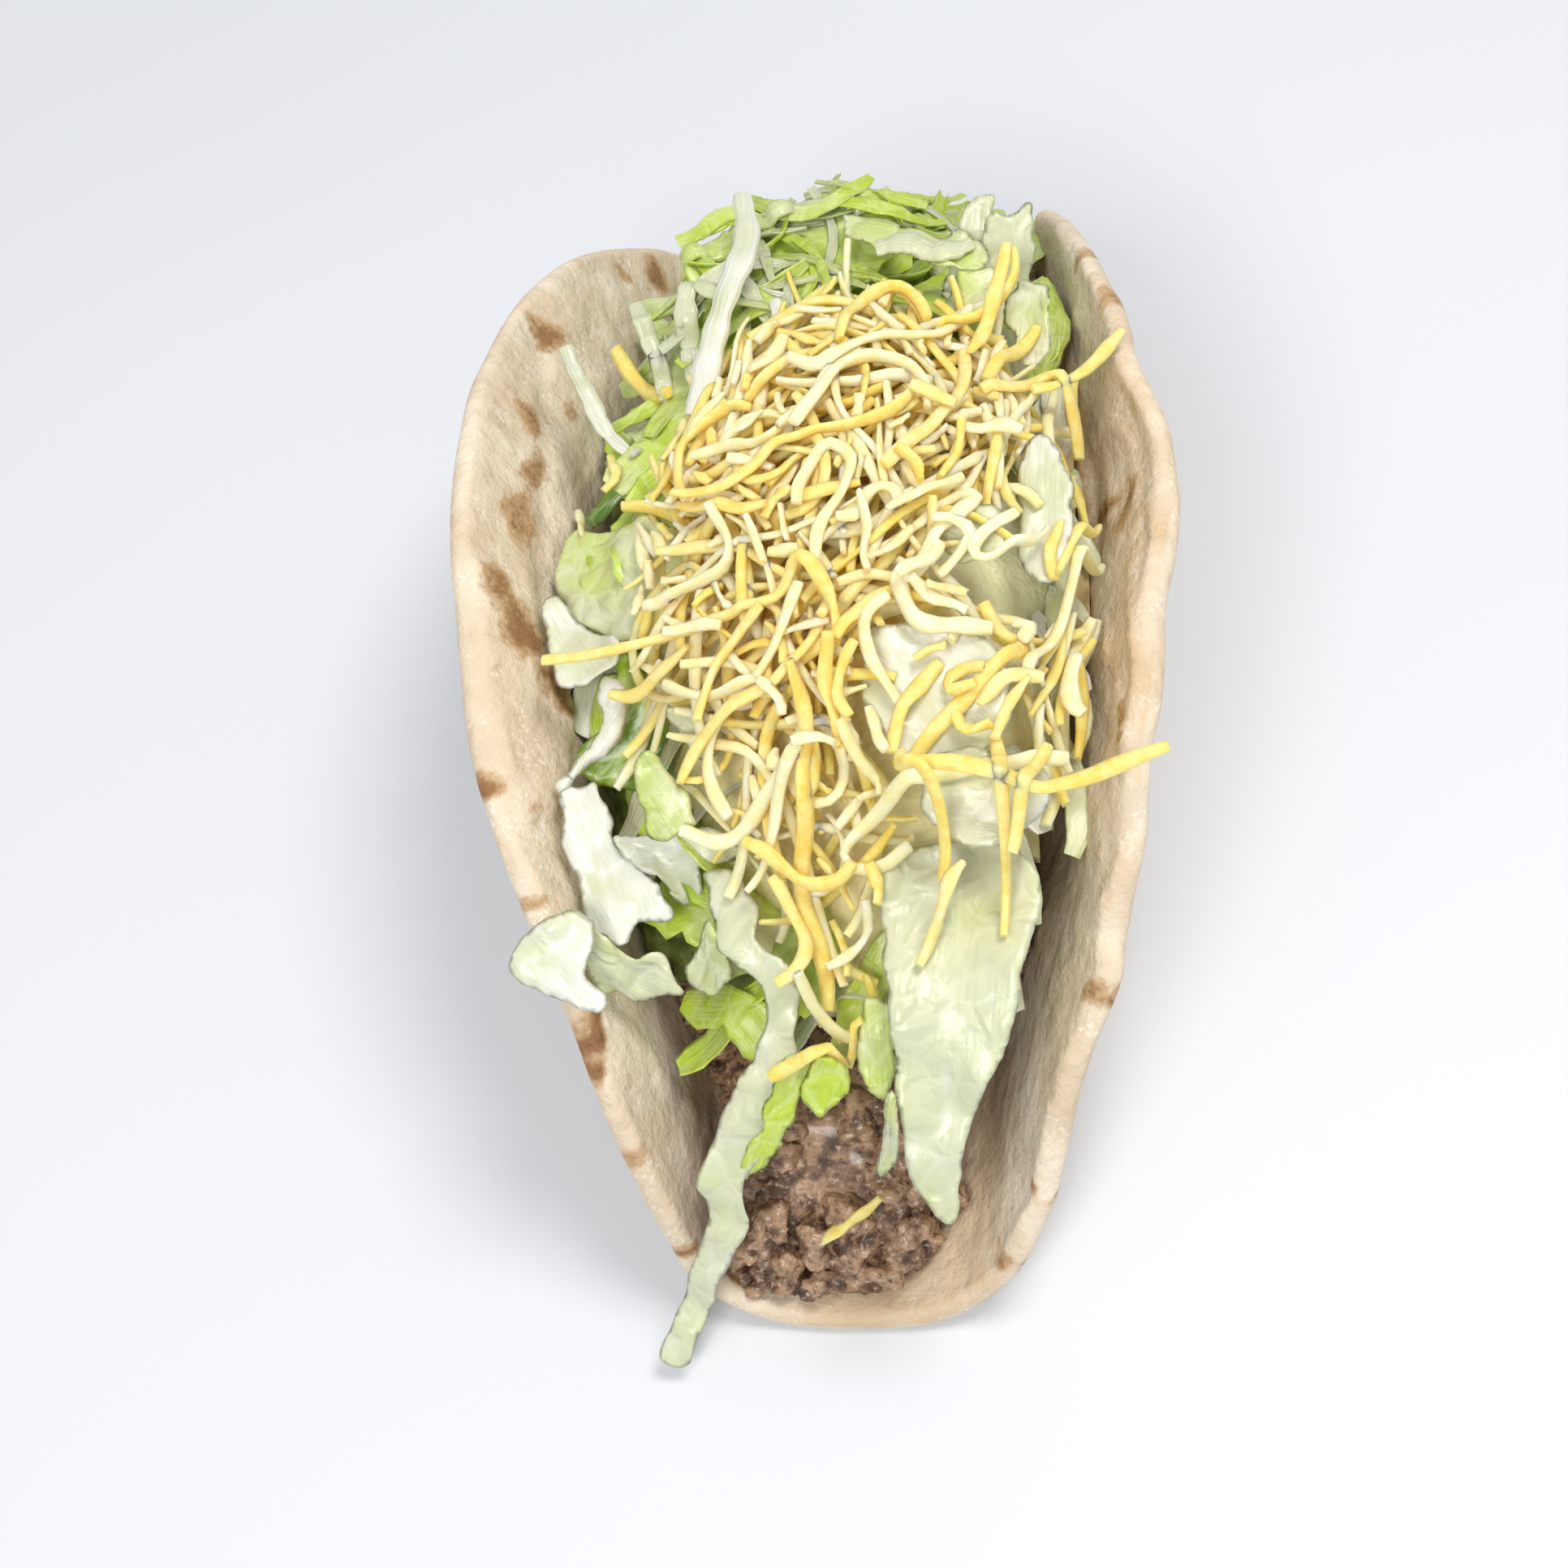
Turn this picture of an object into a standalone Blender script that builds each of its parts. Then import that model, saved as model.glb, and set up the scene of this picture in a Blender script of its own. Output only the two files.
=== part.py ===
"""A soft taco: a folded flour tortilla with ground beef, shredded lettuce and shredded cheese.

The fold runs along Y and the open side faces up. The origin is the middle of the flat strip under the
fold, on which the taco rests. The near end, at -Y, is the one where the beef shows.
"""

import math

import bmesh
import bpy
from mathutils import Vector, noise

# Tortilla, in metres and degrees. The walls' lean is measured from the horizontal, as
# (at mid-length, change towards the far end, change towards both ends).
TORTILLA_RADIUS = 0.0762
TORTILLA_THICKNESS = 0.0028
REST_HALF_WIDTH, REST_NARROWING = 0.0078, 0.0026
FOLD_RADIUS, FOLD_RADIUS_GROWTH, FOLD_RADIUS_ENDS = 0.0125, 0.0029, 0.0047
WALL_LEAN = {-1: (69.9, -2.9, 5.3), 1: (71.8, 10.5, 11.2)}
MOST_LEAN = 86.0
LIP_LENGTH = 0.017
LIP_FLARE = {-1: 20.0, 1: 9.0}
RIM_RUFFLE = 0.0013
RUFFLE_LENGTH = 0.030
RIM_ROUNDING = 0.0009
ACROSS_CELLS, ALONG_CELLS = 36, 20
ARC_STEP = 0.0012

# Heap of filling: the crest is a dome along Y that drops off in a parabola to each wall.
HEAP_CENTRE_Y = -0.005
HEAP_LENGTH = {-1: 0.0670, 1: 0.0780}
HEAP_CREST = 0.0600
CREST_POWER = {-1: 0.75, 1: 0.50}
CREST_X = 0.0030
SIDE_DROP = {-1: 18.0, 1: 13.5}
BEEF_HEIGHT = 0.0270
BEEF_HALF_LENGTH = 0.0738
BEEF_END_POWER = 5
BEEF_COVERED, LUMP_FADE = 0.0500, 0.0120
LETTUCE_ENDS = (-0.0640, 0.0700)
CHEESE_CENTRE = Vector((0.0050, -0.0170))
CHEESE_HALF_SIZE = Vector((0.0250, 0.0410))
CHEESE_DEPTH = 0.0085
CLOSED_DEPTH = 0.0004
LUMP_SIZE = {"beef": 0.0065, "lettuce": 0.0105, "cheese": 0.0070}
LUMP_HEIGHT = {"beef": 0.0018, "lettuce": 0.0022, "cheese": 0.0016}
STATIONS, COLUMNS = 24, 10
GAP = 0.0005
LAYER_GAP = 0.0008

# Pieces of lettuce and cheese that lie apart on the heap or hang from it: the points that the middle line passes
# through, the widest width, the thickness, the way the piece faces, how far the outline narrows at its
# start and at its end, and the cup of its cross-section.
SHRED_GAP = 0.0010
SHRED_LENGTH_CELLS, SHRED_WIDTH_CELLS = 9, 3
UP = (0.0, 0.0, 1.0)
FORWARD = (0.0, -0.70, 0.70)
SHREDS = {
    "lettuce_leaf_front": dict(
        line=((0.0150, -0.0480, 0.0520), (0.0146, -0.0600, 0.0430), (0.0134, -0.0680, 0.0345), (0.0130, -0.0745, 0.0262)),
        width=0.0145, thickness=0.0009, facing=FORWARD, narrow=(0.70, 0.18), cup=0.0016,
    ),
    "lettuce_strip_front": dict(
        line=(
            (-0.0095, -0.0400, 0.0500), (-0.0035, -0.0560, 0.0410), (-0.0060, -0.0680, 0.0270),
            (-0.0120, -0.0765, 0.0160), (-0.0160, -0.0805, 0.0095), (-0.0190, -0.0815, 0.0015),
        ),
        width=0.0076, thickness=0.0009, facing=FORWARD, narrow=(0.90, 0.30), cup=0.0010,
    ),
    "lettuce_stalk_left": dict(
        line=((-0.0225, -0.0175, 0.0520), (-0.0255, -0.0230, 0.0505), (-0.0295, -0.0295, 0.0480)),
        width=0.0034, thickness=0.0024, facing=UP, narrow=(0.80, 0.80), cup=0.0,
    ),
    "lettuce_leaf_left": dict(
        line=((-0.0245, -0.0330, 0.0460), (-0.0208, -0.0400, 0.0430), (-0.0160, -0.0440, 0.0415)),
        width=0.0100, thickness=0.0010, facing=UP, narrow=(0.60, 0.55), cup=-0.0014,
    ),
    "lettuce_leaf_left_low": dict(
        line=((-0.0300, -0.0425, 0.0470), (-0.0285, -0.0500, 0.0420), (-0.0240, -0.0560, 0.0350)),
        width=0.0105, thickness=0.0009, facing=UP, narrow=(0.50, 0.45), cup=0.0012,
    ),
    "lettuce_chunk_left": dict(
        line=((-0.0275, -0.0050, 0.0480), (-0.0190, -0.0070, 0.0510), (-0.0100, -0.0080, 0.0540)),
        width=0.0120, thickness=0.0030, facing=UP, narrow=(0.80, 0.85), cup=0.0006,
    ),
    "lettuce_leaf_point": dict(
        line=((-0.0095, -0.0380, 0.0520), (-0.0135, -0.0330, 0.0520), (-0.0175, -0.0270, 0.0520)),
        width=0.0090, thickness=0.0009, facing=UP, narrow=(0.80, 0.15), cup=0.0010,
    ),
    "lettuce_rib_back": dict(
        line=((-0.0125, 0.0050, 0.0580), (-0.0100, 0.0160, 0.0620), (-0.0072, 0.0280, 0.0640), (-0.0065, 0.0330, 0.0650)),
        width=0.0028, thickness=0.0022, facing=UP, narrow=(0.80, 0.85), cup=0.0,
    ),
    "lettuce_ribbon_back": dict(
        line=((-0.0190, 0.0300, 0.0510), (-0.0050, 0.0370, 0.0550), (0.0080, 0.0370, 0.0560), (0.0150, 0.0340, 0.0520)),
        width=0.0090, thickness=0.0010, facing=UP, narrow=(0.55, 0.45), cup=0.0014,
    ),
    "lettuce_tip_back_left": dict(
        line=((0.0130, 0.0270, 0.0530), (0.0160, 0.0290, 0.0590), (0.0187, 0.0305, 0.0645)),
        width=0.0075, thickness=0.0009, facing=(0.0, -1.0, 0.3), narrow=(0.85, 0.45), cup=0.0010,
    ),
    "lettuce_tip_back_right": dict(
        line=((0.0235, 0.0200, 0.0540), (0.0235, 0.0245, 0.0590), (0.0233, 0.0290, 0.0635)),
        width=0.0070, thickness=0.0009, facing=(0.0, -1.0, 0.3), narrow=(0.90, 0.12), cup=0.0012,
    ),
    "lettuce_leaf_right": dict(
        line=((0.0262, -0.0070, 0.0600), (0.0262, -0.0155, 0.0610), (0.0254, -0.0245, 0.0600)),
        width=0.0066, thickness=0.0009, facing=(-0.3, 0.0, 0.95), narrow=(0.70, 0.40), cup=-0.0008,
    ),
    "cheese_shred_left": dict(
        line=((-0.0290, -0.0250, 0.0560), (-0.0200, -0.0235, 0.0570), (-0.0110, -0.0235, 0.0580), (-0.0050, -0.0240, 0.0600)),
        width=0.0026, thickness=0.0022, facing=UP, narrow=(0.90, 0.90), cup=0.0,
    ),
    "cheese_shred_right": dict(
        line=((0.0200, -0.0430, 0.0570), (0.0260, -0.0425, 0.0570), (0.0315, -0.0420, 0.0560), (0.0360, -0.0405, 0.0540)),
        width=0.0026, thickness=0.0022, facing=UP, narrow=(0.90, 0.90), cup=0.0,
    ),
    "cheese_shred_beef": dict(
        line=((-0.0015, -0.0697, 0.0157), (0.0013, -0.0683, 0.0180), (0.0045, -0.0670, 0.0197)),
        width=0.0024, thickness=0.0020, facing=FORWARD, narrow=(0.90, 0.90), cup=0.0,
    ),
}

# (base colour, roughness, metallic)
LOOKS = {
    "tortilla": ((0.80, 0.67, 0.49), 0.75, 0.0),
    "beef": ((0.20, 0.11, 0.07), 0.55, 0.0),
    "lettuce": ((0.55, 0.66, 0.28), 0.40, 0.0),
    "cheese": ((0.92, 0.66, 0.24), 0.50, 0.0),
}


def smooth_step(value):
    t = min(1.0, max(0.0, value))
    return t * t * (3.0 - 2.0 * t)


def lump(x, y, kind):
    """A repeatable bump of about -1 to 1 at a place, for one kind of filling."""
    offset = {"beef": 3.0, "lettuce": 11.0, "cheese": 27.0}[kind]
    size = LUMP_SIZE[kind]
    return noise.noise(Vector((x / size, y / size, offset)))


def wall_angle(side, distance, y):
    """The sheet's slope, in radians, at a distance from the middle of the fold."""
    along = y / TORTILLA_RADIUS
    middle, drift, ends = WALL_LEAN[side]
    lean = math.radians(min(MOST_LEAN, middle + drift * along + ends * along * along))
    bend = FOLD_RADIUS + FOLD_RADIUS_GROWTH * along + FOLD_RADIUS_ENDS * along * along
    flat = REST_HALF_WIDTH - REST_NARROWING * along * along
    rim = math.sqrt(max(0.0, TORTILLA_RADIUS**2 - y * y))
    lip = smooth_step((distance - rim + LIP_LENGTH) / LIP_LENGTH)
    flare = math.radians(LIP_FLARE[side]) * lip * smooth_step(1.5 * rim / TORTILLA_RADIUS - 0.4)
    return min(lean, max(0.0, distance - flat) / bend) - flare


def section(y, side, reach):
    """Outer points (distance, x, z, angle) across the fold at y, from the middle out to a reach."""
    points = [(0.0, 0.0, 0.0, 0.0)]
    steps = max(1, math.ceil(reach / ARC_STEP))
    length = reach / steps
    for step in range(steps):
        distance, x, z, _ = points[-1]
        angle = max(0.0, wall_angle(side, distance + length / 2, y))
        points.append((distance + length, x + length * math.cos(angle), z + length * math.sin(angle), angle))
    return points


def tortilla_point(across, y):
    """Outer point of the tortilla for a place on the flat disc."""
    side = -1 if across < 0 else 1
    _, x, z, angle = section(y, side, abs(across))[-1]
    share = abs(across) / TORTILLA_RADIUS
    ruffle = RIM_RUFFLE * share * share * noise.noise(Vector((side * 5.0, y / RUFFLE_LENGTH, share)))
    x += ruffle * math.sin(angle)
    z -= ruffle * math.cos(angle)
    return Vector((side * x, y, max(0.0, z)))


def inner_walls(y, depth):
    """(x, z) of the tortilla's inner face across the fold at y, kept a depth from its outer face."""
    found = {}
    for side in (-1, 1):
        found[side] = [
            (x - depth * math.sin(angle), z + depth * math.cos(angle))
            for _, x, z, angle in section(y, side, TORTILLA_RADIUS * 1.05)
        ]
    return found


def height_on(line, x):
    """The height at x on a line of (x, z) points that runs outwards."""
    for (x0, z0), (x1, z1) in zip(line, line[1:]):
        if x <= x1:
            return z0 + (z1 - z0) * max(0.0, x - x0) / max(1e-9, x1 - x0)
    (x0, z0), (x1, z1) = line[-2:]
    return z1 + (z1 - z0) / max(1e-9, x1 - x0) * (x - x1)


WALLS = {}


def floor_height(x, y):
    """Height of the tortilla's inner face, plus the gap, under a place."""
    key = round(y, 6)
    if key not in WALLS:
        WALLS[key] = inner_walls(y, TORTILLA_THICKNESS + GAP)
    return height_on(WALLS[key][-1 if x < 0 else 1], abs(x))


def beef_top(x, y):
    end = min(1.0, abs(y) / BEEF_HALF_LENGTH) ** BEEF_END_POWER
    bare = smooth_step((abs(y) - BEEF_COVERED) / LUMP_FADE)
    return BEEF_HEIGHT * math.sqrt(1.0 - end) + bare * LUMP_HEIGHT["beef"] * lump(x, y, "beef")


def under_cheese(x, y):
    """0 at the middle of the cheese, 1 at its edge, more outside."""
    return ((x - CHEESE_CENTRE.x) / CHEESE_HALF_SIZE.x) ** 2 + ((y - CHEESE_CENTRE.y) / CHEESE_HALF_SIZE.y) ** 2


def lettuce_top(x, y):
    end = -1 if y < HEAP_CENTRE_Y else 1
    reach = (y - HEAP_CENTRE_Y) / HEAP_LENGTH[end]
    crest = HEAP_CREST * max(0.0, 1.0 - reach * reach) ** CREST_POWER[end]
    drop = SIDE_DROP[-1 if x < CREST_X else 1] * (x - CREST_X) ** 2
    bare = smooth_step(1.5 * (under_cheese(x, y) - 0.8))
    return crest - drop + bare * LUMP_HEIGHT["lettuce"] * lump(x, y, "lettuce")


def lettuce_floor(x, y):
    return max(floor_height(x, y), beef_top(x, y) + LAYER_GAP)


def cheese_floor(x, y):
    return max(lettuce_top(x, y), lettuce_floor(x, y)) + LAYER_GAP


def cheese_top(x, y):
    away = under_cheese(x, y)
    depth = CHEESE_DEPTH * math.sqrt(max(0.0, 1.0 - away)) if away < 1.0 else -CHEESE_DEPTH * (away - 1.0)
    return cheese_floor(x, y) + depth + LUMP_HEIGHT["cheese"] * lump(x, y, "cheese")


def heap_height(x, y):
    """The highest thing under a place: tortilla, beef, lettuce or cheese."""
    if abs(y) > TORTILLA_RADIUS:
        return 0.0
    side = -1 if x < 0 else 1
    _, rim_x, rim_z, _ = section(y, side, math.sqrt(TORTILLA_RADIUS**2 - y * y))[-1]
    if abs(x) > rim_x:
        return rim_z + TORTILLA_THICKNESS if abs(x) < rim_x + TORTILLA_THICKNESS else 0.0
    return max(floor_height(x, y), beef_top(x, y), lettuce_top(x, y), cheese_top(x, y))


def edge_of(top, floor, y, start, side):
    """x of the place where a layer thins out to nothing on one side, or None where there is no layer."""
    step = 0.0005 * side
    x = start
    if top(x, y) - floor(x, y) < CLOSED_DEPTH:
        return None
    while top(x + step, y) - floor(x + step, y) > 0.0:
        x += step
    return x


def new_object(name, mesh, look):
    """Links an object for a mesh, with its part's own material."""
    part = bpy.data.objects.new(name, mesh)
    colour, roughness, metallic = LOOKS[look]
    material = bpy.data.materials.new(name)
    material.use_nodes = True
    shader = material.node_tree.nodes["Principled BSDF"]
    shader.inputs["Base Color"].default_value = (*colour, 1.0)
    shader.inputs["Roughness"].default_value = roughness
    shader.inputs["Metallic"].default_value = metallic
    mesh.materials.append(material)
    mesh.shade_smooth()
    TACO.objects.link(part)
    part.parent = ORIGIN
    return part


def mesh_from(name, bm):
    bmesh.ops.recalc_face_normals(bm, faces=bm.faces)
    mesh = bpy.data.meshes.new(name)
    bm.to_mesh(mesh)
    bm.free()
    return mesh


def tortilla():
    """A disc of even quads, wrapped round the fold, given its thickness inwards and a rounded rim."""
    bm = bmesh.new()
    bmesh.ops.create_grid(bm, x_segments=ACROSS_CELLS, y_segments=ALONG_CELLS, size=1.0)
    for vertex in bm.verts:
        u, v = vertex.co.x, vertex.co.y
        u *= 0.74 + 0.26 * u * u
        across = TORTILLA_RADIUS * u * math.sqrt(1.0 - v * v / 2.0)
        y = TORTILLA_RADIUS * v * math.sqrt(1.0 - u * u / 2.0)
        vertex.co = tortilla_point(across, y)
    mesh = bpy.data.meshes.new("tortilla")
    bm.to_mesh(mesh)
    bm.free()
    part = new_object("tortilla", mesh, "tortilla")
    solid = part.modifiers.new("thickness", "SOLIDIFY")
    solid.thickness = TORTILLA_THICKNESS
    solid.offset = 1.0
    solid.use_even_offset = True
    rim = part.modifiers.new("rim", "BEVEL")
    rim.width = RIM_ROUNDING
    rim.segments = 1
    rim.limit_method = "ANGLE"
    rim.angle_limit = math.radians(50)
    return part


def layer(name, look, ends, centre_x, top, floor):
    """One closed body between a floor and a top, as rows of points across the fold."""
    bm = bmesh.new()
    rows = []
    for station in range(STATIONS + 1):
        turn = math.pi * station / STATIONS
        y = (ends[0] + ends[1]) / 2 - (ends[1] - ends[0]) / 2 * math.cos(turn)
        left = edge_of(top, floor, y, centre_x, -1)
        right = edge_of(top, floor, y, centre_x, 1)
        if left is None or right is None:
            continue
        row = []
        for column in range(COLUMNS + 1):
            share = column / COLUMNS
            x = left + (right - left) * (0.5 - 0.5 * math.cos(math.pi * share))
            low = bm.verts.new((x, y, floor(x, y)))
            if column in (0, COLUMNS):
                row.append((low, low))
            else:
                row.append((low, bm.verts.new((x, y, max(top(x, y), floor(x, y) + CLOSED_DEPTH)))))
        rows.append(row)
    for row, following in zip(rows, rows[1:]):
        for column in range(COLUMNS):
            for face in (0, 1):
                corners = [row[column][face], row[column + 1][face], following[column + 1][face], following[column][face]]
                bm.faces.new(corners)
    for row in (rows[0], rows[-1]):
        outline = [pair[0] for pair in row] + [pair[1] for pair in reversed(row[1:-1])]
        bm.faces.new(outline)
    bmesh.ops.triangulate(bm, faces=[face for face in bm.faces if len(face.verts) > 4])
    return new_object(name, mesh_from(name, bm), look)


def line_point(points, share):
    """A point on the smooth curve through the points, at a share of its length, with its direction."""
    place = share * (len(points) - 1)
    index = min(int(place), len(points) - 2)
    t = place - index
    here, there = Vector(points[index]), Vector(points[index + 1])
    before = Vector(points[index - 1]) if index > 0 else 2 * here - there
    after = Vector(points[index + 2]) if index + 2 < len(points) else 2 * there - here
    slope0, slope1 = (there - before) / 2, (after - here) / 2
    point = (
        (2 * t**3 - 3 * t**2 + 1) * here + (t**3 - 2 * t**2 + t) * slope0
        + (3 * t**2 - 2 * t**3) * there + (t**3 - t**2) * slope1
    )
    direction = (
        (6 * t**2 - 6 * t) * here + (3 * t**2 - 4 * t + 1) * slope0
        + (6 * t - 6 * t**2) * there + (3 * t**2 - 2 * t) * slope1
    )
    return point, direction.normalized()


def shred(name, line, width, thickness, facing, narrow, cup):
    """A curved strip, laid just clear of whatever is under it."""
    bm = bmesh.new()
    bmesh.ops.create_grid(bm, x_segments=SHRED_LENGTH_CELLS, y_segments=SHRED_WIDTH_CELLS, size=1.0)
    for vertex in bm.verts:
        share, sideways = (vertex.co.x + 1.0) / 2.0, vertex.co.y
        point, direction = line_point(line, share)
        across = Vector(facing).cross(direction).normalized()
        normal = direction.cross(across).normalized()
        ends = narrow[0] + (narrow[1] - narrow[0]) * share
        half = width / 2 * (ends + (1.0 - ends) * math.sin(math.pi * share))
        ragged = 1.0 + 0.16 * noise.noise(Vector((share * 7.0, sideways * 3.0, len(name))))
        point = point + across * (half * sideways * ragged) + normal * (cup * sideways * sideways)
        point.z = max(point.z, heap_height(point.x, point.y) + SHRED_GAP)
        vertex.co = point
    mesh = mesh_from(name, bm)
    part = new_object(name, mesh, name.split("_")[0])
    if sum(polygon.normal.z for polygon in mesh.polygons) < 0:
        mesh.flip_normals()
    solid = part.modifiers.new("thickness", "SOLIDIFY")
    solid.thickness = thickness
    solid.offset = 1.0
    return part


for old in list(bpy.data.objects):
    bpy.data.objects.remove(old, do_unlink=True)
TACO = bpy.data.collections.new("taco")
bpy.context.scene.collection.children.link(TACO)
ORIGIN = bpy.data.objects.new("taco_origin", None)
TACO.objects.link(ORIGIN)

tortilla()
beef_ends = (-BEEF_HALF_LENGTH + 0.0006, BEEF_HALF_LENGTH - 0.0006)
layer("ground_beef", "beef", beef_ends, 0.0, beef_top, floor_height)
layer("lettuce_heap", "lettuce", LETTUCE_ENDS, CREST_X, lettuce_top, lettuce_floor)
cheese_ends = (CHEESE_CENTRE.y - CHEESE_HALF_SIZE.y, CHEESE_CENTRE.y + CHEESE_HALF_SIZE.y)
layer("cheese_heap", "cheese", cheese_ends, CHEESE_CENTRE.x, cheese_top, cheese_floor)
for shred_name, shape in SHREDS.items():
    shred(shred_name, **shape)
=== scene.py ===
import math

import bmesh
import bpy
import numpy as np
from mathutils import Matrix, Vector, geometry


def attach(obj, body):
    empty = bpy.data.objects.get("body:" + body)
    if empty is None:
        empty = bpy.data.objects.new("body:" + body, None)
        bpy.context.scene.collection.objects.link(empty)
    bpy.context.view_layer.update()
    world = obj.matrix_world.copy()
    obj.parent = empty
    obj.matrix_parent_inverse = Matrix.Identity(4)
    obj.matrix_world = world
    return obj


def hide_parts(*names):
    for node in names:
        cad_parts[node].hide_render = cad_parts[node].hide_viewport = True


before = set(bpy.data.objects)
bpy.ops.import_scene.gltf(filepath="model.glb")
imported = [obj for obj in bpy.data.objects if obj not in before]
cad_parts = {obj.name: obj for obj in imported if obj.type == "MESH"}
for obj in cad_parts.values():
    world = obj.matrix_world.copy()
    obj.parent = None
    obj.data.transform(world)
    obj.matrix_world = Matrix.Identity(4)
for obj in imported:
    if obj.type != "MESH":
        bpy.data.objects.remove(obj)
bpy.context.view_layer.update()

mm = 0.001


# Node wiring

class Wire:
    def __init__(self, board, socket):
        self.board, self.socket = board, socket

    def isVector(self):
        return self.socket.type == "VECTOR"

    def join(self, operation, first, second):
        either = [part for part in (first, second) if isinstance(part, Wire)]
        asVector = any(part.isVector() for part in either)
        kind = "ShaderNodeVectorMath" if asVector else "ShaderNodeMath"
        if asVector:
            first, second = [(part,) * 3 if isinstance(part, (int, float)) else part for part in (first, second)]
        return self.board.node(kind, {"operation": operation}, {0: first, 1: second})

    def __add__(self, other):
        return self.join("ADD", self, other)

    def __radd__(self, other):
        return self.join("ADD", other, self)

    def __sub__(self, other):
        return self.join("SUBTRACT", self, other)

    def __rsub__(self, other):
        return self.join("SUBTRACT", other, self)

    def __mul__(self, other):
        return self.join("MULTIPLY", self, other)

    def __rmul__(self, other):
        return self.join("MULTIPLY", other, self)

    def __truediv__(self, other):
        return self.join("DIVIDE", self, other)

    def __rtruediv__(self, other):
        return self.join("DIVIDE", other, self)

    def __pow__(self, other):
        return self.join("POWER", self, other)

    def between(self, low, high, start=0.0, end=1.0):
        settings = {"interpolation_type": "SMOOTHSTEP"}
        values = {"Value": self, "From Min": low, "From Max": high, "To Min": start, "To Max": end}
        return self.board.node("ShaderNodeMapRange", settings, values)


class Board:
    def __init__(self, tree):
        self.tree = tree

    def node(self, kind, settings=None, values=None, out=0):
        made = self.tree.nodes.new(kind)
        for name, value in (settings or {}).items():
            setattr(made, name, value)
        for key, value in (values or {}).items():
            socket = made.inputs[key]
            if isinstance(value, Wire):
                self.tree.links.new(value.socket, socket)
            else:
                socket.default_value = value
        return Wire(self, made.outputs[out])

    def mix(self, first, second, factor):
        values = {0: factor}
        for index, colour in ((6, first), (7, second)):
            values[index] = colour if isinstance(colour, Wire) else (*colour, 1.0)
        return self.node("ShaderNodeMix", {"data_type": "RGBA"}, values, out=2)

    def axis(self, place, index):
        split = self.tree.nodes.new("ShaderNodeSeparateXYZ")
        self.tree.links.new(place.socket, split.inputs[0])
        return Wire(self, split.outputs[index])

    def attribute(self, name):
        return self.node("ShaderNodeAttribute", {"attribute_name": name}, out=2)

    def grain(self, size, detail, rough=0.5, where=None):
        values = {"Scale": 1.0 / size, "Detail": detail, "Roughness": rough}
        values["Vector"] = where if where else self.place
        return self.node("ShaderNodeTexNoise", None, values)


def material(name, roughness, subsurface, radius, depth, coat=0.0, specular=0.5):
    made = bpy.data.materials.new(name)
    made.use_nodes = True
    board = Board(made.node_tree)
    board.shader = made.node_tree.nodes["Principled BSDF"]
    fixed = {
        "Roughness": roughness, "Subsurface Weight": subsurface, "Subsurface Radius": radius,
        "Subsurface Scale": depth, "Coat Weight": coat, "Coat Roughness": 0.12, "Specular IOR Level": specular,
    }
    for key, value in fixed.items():
        board.shader.inputs[key].default_value = value
    board.place = board.node("ShaderNodeTexCoord", out=3)
    return made, board


def plug(board, colour, roughness=None, bumps=()):
    links = board.tree.links
    links.new(colour.socket, board.shader.inputs["Base Color"])
    if roughness:
        links.new(roughness.socket, board.shader.inputs["Roughness"])
    normal = None
    for height, distance in bumps:
        values = {"Height": height, "Distance": distance, "Strength": 1.0}
        if normal:
            values["Normal"] = normal
        normal = board.node("ShaderNodeBump", None, values)
    if normal:
        links.new(normal.socket, board.shader.inputs["Normal"])


# Small numeric helpers

def ease(value):
    value = np.clip(value, 0.0, 1.0)
    return value * value * (3.0 - 2.0 * value)


def cloud(points, size, seed):
    # smooth noise of -1 to 1 on a lattice
    place = np.asarray(points, float) / size
    cell = np.floor(place).astype(np.int64)
    part = place - cell
    part = part * part * (3.0 - 2.0 * part)
    total = 0.0
    for corner in np.ndindex(2, 2, 2):
        key = (cell + corner) @ np.array((73856093, 19349663, 83492791)) + seed * 2654435761
        key = (key ^ (key >> 13)) * 1274126177 & 0xFFFFFFFF
        value = ((key ^ (key >> 15)) & 0xFFFF) / 32767.5 - 1.0
        total = total + value * np.prod(np.where(corner, part, 1.0 - part), axis=-1)
    return total


def meshObject(name, points, faces, look, values):
    mesh = bpy.data.meshes.new(name)
    mesh.from_pydata(np.asarray(points).tolist(), [], faces)
    for key, data in values.items():
        mesh.attributes.new(key, "FLOAT", "POINT").data.foreach_set("value", np.asarray(data, np.float32))
    made = bpy.data.objects.new(name, mesh)
    bpy.context.scene.collection.objects.link(made)
    mesh.materials.append(look)
    mesh.shade_smooth()
    return made


def faceOut(made):
    bm = bmesh.new()
    bm.from_mesh(made.data)
    bmesh.ops.recalc_face_normals(bm, faces=bm.faces)
    bm.to_mesh(made.data)
    bm.free()
    made.data.shade_smooth()


def settle(made):
    # turns the object's live modifiers into plain mesh
    graph = bpy.context.evaluated_depsgraph_get()
    mesh = bpy.data.meshes.new_from_object(made.evaluated_get(graph))
    made.modifiers.clear()
    old = made.data
    made.data = mesh
    bpy.data.meshes.remove(old)


def show(made, slot, *nodes):
    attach(made, "root")
    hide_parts(*nodes)
    made.data.calc_loop_triangles()
    print("made", made.name, len(made.data.loop_triangles), "triangles")


# Tortilla

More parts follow.
